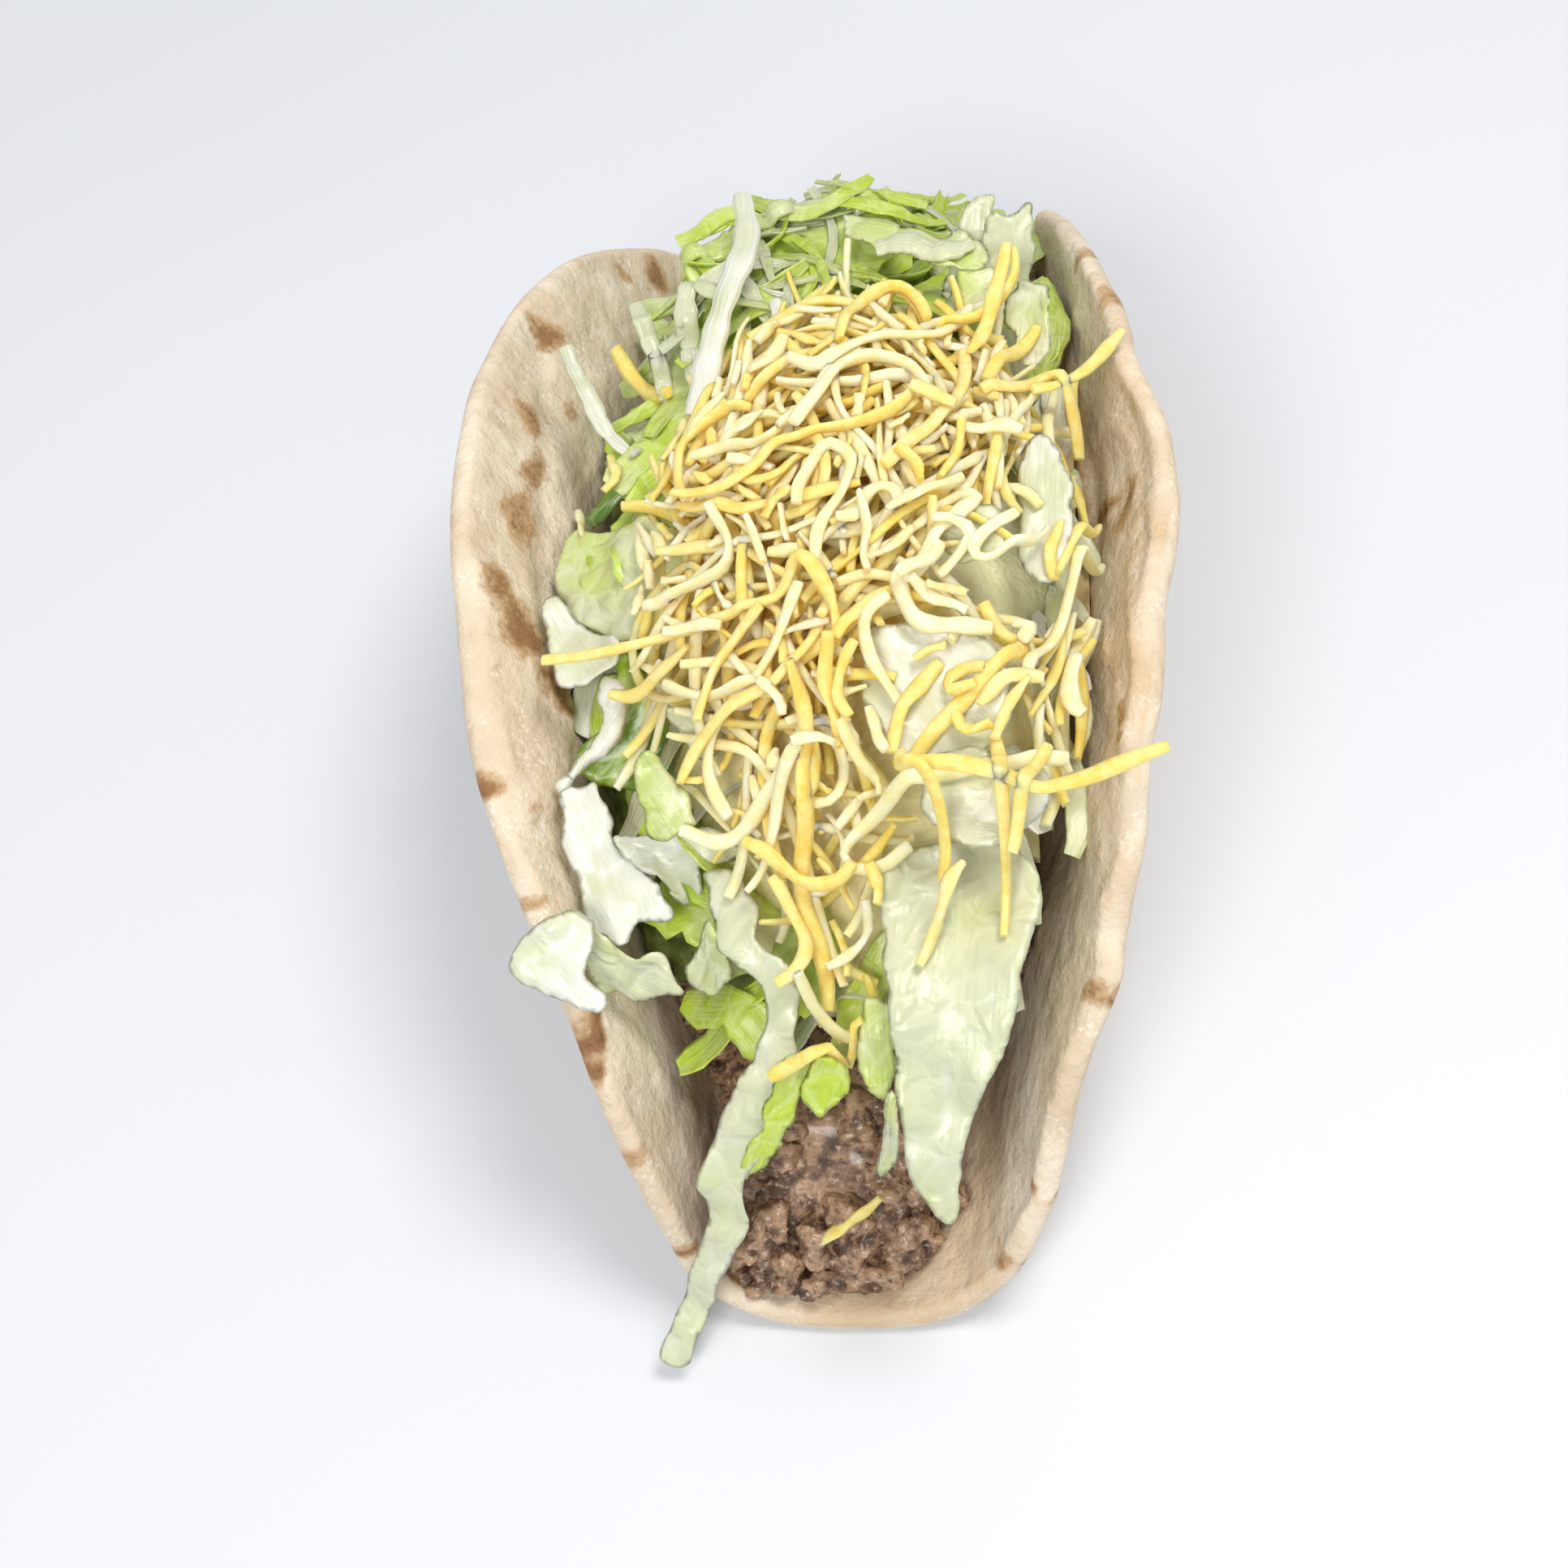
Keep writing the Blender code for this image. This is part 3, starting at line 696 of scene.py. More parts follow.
def cheeseLook():
    made, board = material("cheese", 0.5, 0.85, (1.0, 0.75, 0.30), 2.2 * mm, specular=0.35)
    tone = board.attribute("tone")
    small = board.grain(1.6 * mm, 3.0, 0.6)
    wide = board.grain(7 * mm, 2.0)
    yellow = board.mix(*cheese["yellow"], small.between(0.35, 0.65))
    cream = board.mix(*cheese["cream"], small.between(0.35, 0.65))
    base = board.mix(yellow, cream, tone)
    base = board.mix(base, cheese["wash"], wide.between(0.52, 0.8) * 0.35)
    rough = 0.42 + small * 0.25
    plug(board, base, rough, [(board.grain(0.5 * mm, 3.0), 0.06 * mm), (small, 0.12 * mm)])
    return made


def strandPlan(rng, centre, heading, length, wander, curl):
    # a curved path seen from above
    count = max(5, int(length / (1.15 * mm)))
    s = np.linspace(0.0, length, count)
    bend = rng.normal(0.0, 1.0) * curl
    swing = rng.uniform(0.4, 1.0) * wander
    bend = bend + swing * np.sin(2 * math.pi * s / rng.uniform(14 * mm, 34 * mm) + rng.uniform(0, 6.28))
    turn = heading + np.concatenate([[0.0], np.cumsum(0.5 * (bend[1:] + bend[:-1]) * np.diff(s))])
    step = length / (count - 1)
    path = np.cumsum(np.stack([np.cos(turn), np.sin(turn)], -1) * step, axis=0)
    return path - path.mean(axis=0) + centre


def cheeseStrand(rng, points, tone, half):
    count = len(points)
    run = np.linspace(0.0, 1.0, count)
    twist = rng.normal(0.0, 0.5) + rng.normal(0.0, 0.9) * run
    twist = twist + 0.5 * np.sin(run * rng.uniform(3, 9) + rng.uniform(0, 6))
    taper = 1.0 - 0.22 * (np.exp(-run * count / 1.2) + np.exp(-(1 - run) * count / 1.2))
    wide = half * taper * (1.0 + 0.08 * np.sin(run * rng.uniform(8, 20) + rng.uniform(0, 6)))
    return dict(points=points, facing=frameNormals(points, twist), wide=wide, tone=tone)


# tone (0 yellow, 1 cream), width in mm and the places in mm it passes over; a third number is its own height
topStrands = (
    (0.10, 2.3, ((-12.5, -11.2), (-8.6, -13.0), (-5.2, -15.1), (-2.4, -15.5))),
    (0.15, 2.0, ((-11.7, -11.2), (-12.8, -7.5), (-12.9, -2.8), (-10.5, -1.3), (-7.3, -0.4), (-4.9, -1.1))),
    (0.10, 2.2, (
        (-12.8, -11.3), (-7.6, -12.2), (-4.3, -10.9), (-1.6, -8.7), (1.3, -8.2), (5.0, -7.0), (9.1, -5.5),
        (11.3, -3.4), (12.2, -1.7),
    )),
    (0.80, 1.9, ((-11.2, -5.9), (-7.4, -6.1), (-4.0, -7.2), (-1.7, -7.1), (-0.6, -5.2))),
    (0.85, 2.0, ((-1.2, -7.0), (0.9, -4.6), (2.6, -0.6), (4.5, 2.6), (6.8, 4.3))),
    (0.90, 2.3, (
        (0.5, -7.4), (2.5, -3.1), (4.6, 0.7), (7.3, 3.2), (9.9, 3.2), (12.5, 1.3), (13.8, -1.5),
        (13.8, -3.6),
    )),
    (0.85, 2.2, ((-5.0, 3.1), (-2.8, 5.6), (-1.7, 7.9))),
    (0.88, 2.2, ((-0.9, 4.0), (2.7, 1.6), (5.4, 4.2), (8.6, 6.9), (12.3, 8.0), (15.0, 10.4), (17.4, 15.8))),
    (0.05, 2.1, ((4.3, 6.7), (5.1, 11.7), (7.0, 16.1), (9.8, 18.0), (11.9, 15.9), (13.1, 12.8))),
    (0.06, 2.2, (
        (14.3, 11.3, 64.5), (18.2, 12.2, 64.8), (21.3, 14.6, 65.5), (22.6, 17.2, 66.3), (22.5, 19.7, 67.0),
    )),
    (0.35, 2.3, ((17.0, 8.0), (17.3, 3.2), (16.7, -0.9), (14.5, -5.3), (11.9, -8.8), (9.7, -11.9))),
    (0.08, 2.2, ((19.4, 4.1), (21.6, 9.2), (24.6, 14.3))),
    (0.12, 2.1, (
        (24.1, 3.7, 62.0), (26.8, 4.9, 61.6), (29.3, 6.7, 61.2), (31.3, 9.2, 60.9), (33.6, 13.0, 60.5),
    )),
    (0.18, 2.4, ((19.0, 1.9), (21.7, 3.9), (24.9, 6.4), (27.0, 6.1), (28.2, 3.2), (28.6, 0.0))),
    (0.90, 2.3, ((17.3, -5.3), (19.1, -5.1), (21.3, -4.1), (23.3, -4.5))),
    (0.05, 2.0, ((11.0, -10.2), (12.8, -11.4), (13.4, -13.7))),
    (0.08, 2.1, ((15.1, -12.3), (16.8, -8.8), (17.4, -5.1))),
    (0.20, 2.2, ((12.2, -1.7), (14.5, -2.6), (16.8, -3.7))),
    (0.10, 2.3, ((17.9, 6.9), (20.1, 12.7), (21.8, 19.6))),
    (0.75, 1.9, (
        (1.0, -16.5), (1.2, -14.0), (2.6, -11.2), (4.4, -9.5), (6.3, -11.0), (5.7, -14.5), (4.1, -17.1),
        (3.1, -19.7), (2.8, -22.8),
    )),
    (0.86, 1.9, ((5.0, -18.1), (7.0, -17.6), (7.9, -15.3), (9.3, -14.2), (10.8, -14.7), (11.1, -16.7))),
    (0.88, 2.0, ((7.3, -15.6), (8.0, -18.7), (7.7, -21.4), (8.1, -23.5))),
    (0.86, 2.0, ((10.1, -17.6), (12.8, -15.8), (15.1, -14.0), (17.4, -11.9))),
    (0.40, 1.7, ((14.6, -15.7), (14.3, -18.3), (14.0, -20.8))),
    (0.80, 1.7, ((8.5, -22.4), (10.6, -20.1), (12.4, -18.3))),
    (0.92, 2.0, (
        (-8.6, -14.1), (-6.7, -17.3), (-6.4, -19.3), (-7.7, -20.4), (-11.2, -20.4), (-14.0, -20.7),
        (-16.4, -20.4),
    )),
    (0.85, 2.1, ((-4.4, -16.4), (-3.3, -19.3), (-2.4, -22.0))),
    (0.25, 2.5, (
        (-27.3, -24.8, 57.5), (-22.4, -25.2, 58.5), (-16.9, -25.4, 60.2), (-11.0, -25.3, 62.0),
        (-5.1, -25.2, 64.4), (-1.2, -24.7, 66.1), (0.9, -21.4, 67.0),
    )),
    (0.10, 2.3, ((1.2, -22.1), (3.0, -23.8), (4.3, -26.0), (4.9, -28.2), (4.7, -30.2))),
    (0.12, 2.2, ((4.8, -30.4), (6.0, -28.4), (8.1, -26.5), (11.0, -24.3))),
    (0.86, 2.2, (
        (1.1, -24.3), (-0.2, -27.5), (-2.5, -30.7), (-5.7, -33.2), (-8.4, -34.8), (-9.4, -36.9),
        (-9.1, -39.2), (-7.4, -42.1),
    )),
    (0.22, 2.3, (
        (2.5, -29.3), (0.3, -31.5), (-2.2, -33.4), (-6.0, -34.4), (-9.8, -36.0), (-11.4, -37.8),
        (-12.1, -39.5),
    )),
    (0.06, 2.3, ((4.3, -30.5), (3.6, -33.5), (4.3, -36.4), (4.7, -39.2))),
    (0.05, 2.3, ((0.2, -32.1), (1.2, -35.0), (1.4, -37.4), (2.0, -39.5), (1.1, -42.5))),
    (0.10, 1.8, ((6.6, -30.1), (5.3, -32.6), (4.9, -35.4), (6.1, -37.3))),
    (0.85, 1.9, ((10.1, -26.2), (7.7, -28.5), (8.1, -31.2), (9.5, -33.3), (11.1, -35.7))),
    (0.15, 2.4, ((14.8, -31.2), (12.7, -33.9), (10.7, -37.1), (9.9, -40.1))),
    (0.10, 2.4, (
        (19.1, -24.1), (20.5, -26.4), (22.7, -27.9), (21.9, -30.8), (18.6, -34.0), (15.6, -36.5),
        (12.9, -39.3), (11.1, -42.3),
    )),
    (0.15, 1.9, ((19.2, -32.9), (17.6, -32.3), (15.8, -33.1), (16.0, -34.6), (18.4, -34.5))),
    (0.10, 2.3, (
        (12.9, -45.1, 66.0), (16.7, -44.6, 64.7), (20.1, -44.8, 63.5), (24.0, -45.5, 61.3),
        (26.4, -44.6, 60.0), (29.7, -42.9, 59.0), (32.9, -40.8, 58.0), (36.8, -38.3, 56.5),
    )),
    (0.98, 3.0, ((27.9, -25.9), (27.1, -29.1), (27.7, -30.8), (28.5, -31.5))),
    (0.80, 1.9, ((30.5, -10.7), (28.9, -17.3), (26.6, -23.6), (24.0, -29.4), (23.3, -32.4))),
    (0.22, 2.0, ((26.9, -14.4), (25.8, -17.9), (26.2, -20.9))),
    (0.20, 2.0, ((30.5, -9.8), (28.4, -16.4), (26.6, -20.9))),
    (0.98, 2.5, ((22.1, -25.3), (23.6, -26.2), (23.0, -28.4))),
    (0.95, 2.4, ((-14.2, -28.5), (-11.0, -30.6), (-6.9, -32.3), (-3.8, -32.8))),
    (0.28, 2.2, ((-2.8, -26.2), (-5.4, -27.8), (-7.8, -29.8), (-9.6, -33.1), (-10.0, -34.7))),
    (0.25, 2.1, ((-11.2, -26.8), (-14.2, -27.5), (-17.3, -28.1), (-20.7, -27.1))),
    (0.92, 2.2, (
        (27.1, -40.0), (22.3, -41.2), (16.9, -42.1), (12.4, -42.8), (8.7, -43.6), (5.4, -44.9),
        (4.3, -46.2), (5.5, -47.5), (8.3, -47.2), (10.9, -45.3),
    )),
    (0.07, 2.5, (
        (1.9, -38.1), (1.0, -40.5), (0.8, -43.8), (-0.2, -46.4), (-0.3, -49.0), (0.7, -51.5), (1.3, -54.0),
        (1.2, -56.6),
    )),
    (0.25, 2.2, ((-3.1, -47.9), (-1.5, -50.1), (-0.1, -52.8), (-1.1, -55.5), (-3.1, -56.9))),
    (0.93, 2.3, ((0.4, -39.7), (-2.7, -41.1), (-5.4, -42.9), (-8.6, -43.8), (-12.5, -42.9))),
    (0.90, 2.1, ((0.8, -39.4), (-1.3, -41.6), (-2.6, -44.1), (-3.9, -46.6), (-5.9, -48.5))),
    (0.10, 2.3, ((-5.7, -44.8), (-2.9, -46.7), (0.2, -48.4), (3.6, -48.6), (5.3, -47.6))),
    (0.98, 1.7, ((6.2, -49.6), (6.0, -51.7), (3.6, -53.2), (1.7, -54.1))),
    (0.90, 2.0, ((-0.8, -56.2), (0.3, -57.6), (2.5, -58.5), (3.8, -58.3))),
    (0.10, 2.1, ((6.9, -47.6), (7.7, -49.3), (7.6, -51.1))),
    (0.10, 2.2, ((11.2, -41.7), (11.7, -44.7), (14.3, -46.1), (15.0, -48.2), (14.3, -50.9))),
    (0.50, 2.6, ((16.5, -49.6), (14.2, -52.9), (11.6, -56.9))),
    (0.15, 2.2, ((20.1, -38.7), (20.8, -43.2), (20.9, -47.1), (20.1, -54.7))),
    (0.20, 2.0, ((25.3, -40.0), (23.0, -45.7), (21.6, -50.4))),
    (0.05, 2.6, ((-24.3, 22.3, 53.0), (-22.2, 18.7, 51.7), (-19.4, 15.5, 50.6), (-17.1, 13.9, 50.0))),
    (0.06, 2.3, ((-4.7, -63.1, 20.7), (-2.4, -62.5, 21.3), (0.6, -61.9, 22.1), (5.3, -59.8, 23.1))),
    (0.15, 2.3, ((-2.6, -70.8, 12.2), (0.3, -69.9, 14.3), (2.9, -68.9, 15.9), (4.5, -67.9, 17.0))),
    (1.00, 2.6, ((10.9, -23.6), (11.5, -26.0), (12.9, -28.0), (16.0, -28.6), (18.4, -28.5), (20.2, -28.6))),
    (1.00, 2.4, ((17.5, -14.1), (18.8, -14.9), (17.2, -17.0), (15.0, -19.0), (13.6, -22.1), (12.0, -25.1))),
    (1.00, 2.2, ((14.6, -18.4), (16.8, -18.4), (18.3, -19.3), (16.7, -21.3), (14.9, -23.1))),
    (1.00, 2.0, (
        (22.8, -16.7), (20.3, -18.8), (18.5, -21.4), (19.8, -22.1), (21.6, -21.1), (23.9, -19.0),
        (25.6, -15.9),
    )),
    (1.00, 2.2, ((12.6, -25.4), (14.3, -26.3), (16.5, -26.4), (17.8, -27.0))),
    (0.95, 2.0, ((15.4, -20.8), (14.5, -22.8), (12.6, -24.3), (11.3, -25.6))),
    (0.55, 1.8, ((14.3, -26.1), (16.2, -25.0), (17.7, -25.2))),
    (0.50, 2.2, ((18.7, -36.2), (21.0, -34.0), (23.3, -33.1), (25.1, -33.1))),
    (0.85, 1.8, ((7.6, -35.0), (8.2, -36.7), (8.7, -38.8), (9.5, -40.5))),
    (0.15, 2.0, ((12.3, -31.1), (14.2, -30.4), (15.5, -30.7))),
    (0.60, 2.0, ((5.1, -37.9), (6.4, -39.6), (8.1, -41.0), (8.4, -42.3))),
    (0.30, 1.8, ((23.7, -33.9), (21.8, -35.7), (20.8, -37.8), (20.2, -39.8))),
    (0.12, 2.1, ((16.4, -36.7), (17.2, -38.4), (19.9, -38.4))),
    (0.90, 2.0, ((0.3, -39.7), (2.8, -38.9), (4.5, -39.6))),
    (0.85, 2.0, ((-13.5, -25.7), (-10.2, -26.0), (-7.1, -26.8))),
    (0.90, 1.8, ((-3.0, -33.4), (-1.1, -34.9), (-0.8, -36.4))),
    (0.60, 1.6, ((-28.8, 4.9), (-27.4, 0.4), (-26.5, -3.0))),
    (0.30, 2.0, ((-23.7, 6.8), (-22.7, 3.3), (-24.0, 1.4))),
)


def laidStrand(rng, field, path, tone, half):
    points = layDown(field, path, half, cheese["restAt"] * half)
    field.stamp(points, half, cheese["markAt"] * half)
    return cheeseStrand(rng, points, tone, half)


def buildCheese(field, inside):
    rng = np.random.default_rng(cheese["seed"])
    strands = []
    (centreX, centreY), (halfX, halfY) = heap["cheeseCentre"], heap["cheeseHalf"]
    for kind, count, shortest, longest, rise in cheese["layers"]:
        done = tries = 0
        while done < count and tries < count * cheese["tries"]:
            tries += 1
            reach, turn = cheese["reach"] * math.sqrt(rng.random()), rng.random() * 2 * math.pi
            centre = np.array((centreX + halfX * reach * math.cos(turn), centreY + halfY * reach * math.sin(turn)))
            if kind in cheese["boxes"]:
                x0, x1, y0, y1 = cheese["boxes"][kind]
                centre = np.array((rng.uniform(x0, x1), rng.uniform(y0, y1))) * mm
            length = rng.uniform(shortest, longest) * mm
            wide, tight = cheese["bendRadii"]
            curl = 1 / ((wide if rng.random() < cheese["straightShare"] else tight) * mm)
            heading = rng.normal(*cheese["headings"].get(kind, cheese["heading"]))
            path = strandPlan(rng, centre, heading, length, 1 / (cheese["wanderRadius"] * mm), curl)
            x, y = path[:, 0], path[:, 1]
            over = kind != "wall" and cheeseAway(x, y).max() > cheese["overhang"]
            if inside.at(x, y).min() < 0.5 or over:
                continue
            half = rng.uniform(*cheese["half"]) * mm
            points = layDown(field, path, half, cheese["restAt"] * half)
            steep = np.abs(np.diff(points[:, 2])).max() > cheese["steepest"] * mm
            if (points[:, 2] - cheeseTop(x, y)).mean() > rise * mm or steep:
                continue
            field.stamp(points, half, cheese["markAt"] * half)
            share = cheese["yellowShare"].get(kind, cheese["otherYellow"])
            tones = cheese["yellowTone"] if rng.random() < share else cheese["creamTone"]
            tone = float(np.clip(rng.normal(*tones), 0, 1))
            strands.append(cheeseStrand(rng, points, tone, half))
            done += 1
        print("cheese", kind, done, "of", count, "in", tries)
        if kind == "matted":
            under = len(strands)
    for tone, wide, places in topStrands:
        line = smoothLine(np.array(places) * mm, 0.9 * mm)
        half = wide * cheese["topWidth"] * mm
        if line.shape[1] == 2:
            strands.append(laidStrand(rng, field, line, tone, half))
            continue
        support = field.at(line[:, 0], line[:, 1]) + cheese["restAt"] * half
        line[:, 2] = np.maximum(line[:, 2], support)
        for _ in range(6):
            eased = 0.25 * line[:-2, 2] + 0.5 * line[1:-1, 2] + 0.25 * line[2:, 2]
            line[1:-1, 2] = np.maximum(support[1:-1], eased)
        field.stamp(line, half, cheese["markAt"] * half)
        strands.append(cheeseStrand(rng, line, tone, half))
    look = cheeseLook()
    made = sweep("cheeseUnder", strands[:under], look, cheese["underShape"])
    show(made, "cheese", "cheese_heap")
    made = sweep("cheeseStrands", strands[under:], look, cheese["topShape"])
    show(made, "cheese", "cheese_heap", "cheese_shred_left", "cheese_shred_right", "cheese_shred_beef")


# Lettuce

lettuce = dict(
    seed=77, leafSeed=5, stripSeed=8, tries=15, wanderRadius=14, bendRadius=25,
    # zone, centres (x from and to, y from and to), count, widths, lengths, tone and its spread, heading
    # and its spread, most rise over the heap and most rise between places; lengths in mm
    zones=(
        ("leftGap", (-27, -12, -46, 26), 46, (3.0, 7.0), (10, 22), (0.55, 0.25), (1.2, 1.0), (1.2, 2.4)),
        ("near", (-12, 18, -57, -42), 22, (3.0, 6.5), (9, 16), (0.55, 0.25), (1.57, 0.7), (1.2, 2.4)),
        ("far", (-20, 26, 18, 62), 140, (2.0, 5.6), (10, 24), (0.60, 0.10), (0.3, 1.3), (1.2, 2.4)),
        ("right", (20, 28, -50, 25), 16, (2.0, 4.5), (8, 18), (0.24, 0.10), (1.57, 0.4), (1.2, 2.4)),
        ("farEnd", (-16, 16, 54, 68), 60, (2.5, 6.0), (8, 16), (0.58, 0.12), (1.4, 0.8), (2.5, 5.0)),
    ),
    shredShape={"Thickness": 0.10, "Corners": 14, "Ruffle Size": 4.5 * mm},
    ribShape={"Thickness": 0.6, "Corners": 22, "Seed": 7.0, "Ruffle Size": 4.0 * mm},
    threadShape={"Thickness": 0.35, "Corners": 12, "Ruffle Size": 4.0 * mm},
    rib=((-12.5, 5.0, 60.0), (-9.6, 16.0, 64.5), (-7.2, 25.0, 65.5), (-8.0, 32.0, 66.0)),
    ribWidth=3.0, ribTone=0.04, ribRuffle=0.15, ribEnds=(0.9, 0.7),
    # thin shreds at the far end, in mm
    thinTries=240, thinMost=70, thinBox=(-19, 26, 18, 46), thinHeights=(45, 61.5), thinSteep=1.6,
    white=(0.74, 0.76, 0.68), ivory=(0.60, 0.63, 0.43), pale=(0.55, 0.62, 0.25), fresh=(0.48, 0.62, 0.06),
    dark=(0.13, 0.27, 0.015), vein=(0.85, 0.89, 0.66),
)


def lettuceLook():
    made, board = material("lettuce", 0.30, 0.35, (0.75, 1.0, 0.35), 0.45 * mm, coat=0.30)
    tone, across, run = board.attribute("tone"), board.attribute("across"), board.attribute("run")
    bent = board.place + board.grain(4 * mm, 1.0) * 0.0035
    spots = {"Vector": bent, "Scale": 1 / (3.2 * mm)}
    cells = board.node("ShaderNodeTexVoronoi", {"feature": "DISTANCE_TO_EDGE"}, spots)
    leafy = tone.between(0.03, 0.30)
    veins = cells.between(0.0, 0.14, 1.0, 0.0) * leafy
    wide = board.grain(8 * mm, 2.0)
    small = board.grain(1.3 * mm, 3.0, 0.6)
    along = board.node("ShaderNodeCombineXYZ", None, {0: across * 4.0, 1: run * 2.0, 2: tone * 9.0})
    streaks = board.grain(1.0, 3.0, 0.6, where=along)
    shade = tone + (wide - 0.5) * 0.55 + (streaks - 0.5) * 0.25
    base = board.mix(lettuce["white"], lettuce["ivory"], shade.between(0.02, 0.20))
    base = board.mix(base, lettuce["pale"], shade.between(0.22, 0.40))
    base = board.mix(base, lettuce["fresh"], shade.between(0.34, 0.60))
    base = board.mix(base, lettuce["dark"], shade.between(0.72, 1.0))
    base = board.mix(base, lettuce["vein"], veins * 0.20 + streaks.between(0.58, 0.75) * 0.20)
    rough = 0.20 + small * 0.30
    heights = [(cells.between(0.0, 0.5) * leafy, 0.22 * mm), (streaks, 0.30 * mm), (small, 0.10 * mm)]
    plug(board, base, rough, heights)
    return made


def leafStrip(rng, points, wide, tone, ruffle, cup=0.0, lean=0.0, ends=(0.5, 0.5)):
    count = len(points)
    run = np.linspace(0.0, 1.0, count)
    outline = ends[0] + (ends[1] - ends[0]) * run
    outline = outline + (1.0 - outline) * np.sin(math.pi * run) ** 0.6
    ragged = 1.0 + 0.20 * np.sin(run * rng.uniform(9, 16) + rng.uniform(0, 6)) * rng.uniform(0.3, 1)
    ragged = ragged + 0.08 * np.sin(run * rng.uniform(30, 44))
    facing = frameNormals(points, lean)
    return dict(points=points, facing=facing, wide=wide / 2 * outline * ragged, tone=tone, ruffle=ruffle, cup=cup)


def buildLettuce(field, inside):
    rng = np.random.default_rng(lettuce["seed"])
    strips = []
    for name, (x0, x1, y0, y1), count, widths, lengths, tones, headings, (rise, steep) in lettuce["zones"]:
        done = tries = 0
        while done < count and tries < count * lettuce["tries"]:
            tries += 1
            centre = np.array((rng.uniform(x0, x1), rng.uniform(y0, y1))) * mm
            heading, length = rng.normal(*headings), rng.uniform(*lengths) * mm
            wander, curl = 1 / (lettuce["wanderRadius"] * mm), 1 / (lettuce["bendRadius"] * mm)
            path = strandPlan(rng, centre, heading, length, wander, curl)
            if inside.at(path[:, 0], path[:, 1]).min() < 0.5:
                continue
            wide = rng.uniform(*widths) * mm
            points = layDown(field, path, 0.35 * wide, 0.35 * mm, 40)
            if (points[:, 2] - lettuceTop(path[:, 0], path[:, 1])).mean() > rise * mm:
                continue
            if np.abs(np.diff(points[:, 2])).max() > steep * mm:
                continue
            field.stamp(points, 0.33 * wide, 0.5 * mm)
            tone = float(np.clip(rng.normal(*tones), 0, 1))
            ruffle, cup, lean = rng.uniform(0.6, 1.6) * mm, rng.normal(0, 0.5) * mm, rng.normal(0, 0.3)
            strips.append(leafStrip(rng, points, wide, tone, ruffle, cup, lean))
            done += 1
        print("lettuce", name, done, "of", count, "in", tries)
    look = lettuceLook()
    made = sweep("lettuceShreds", strips, look, lettuce["shredShape"])
    show(made, "lettuce", "lettuce_heap")
    return look


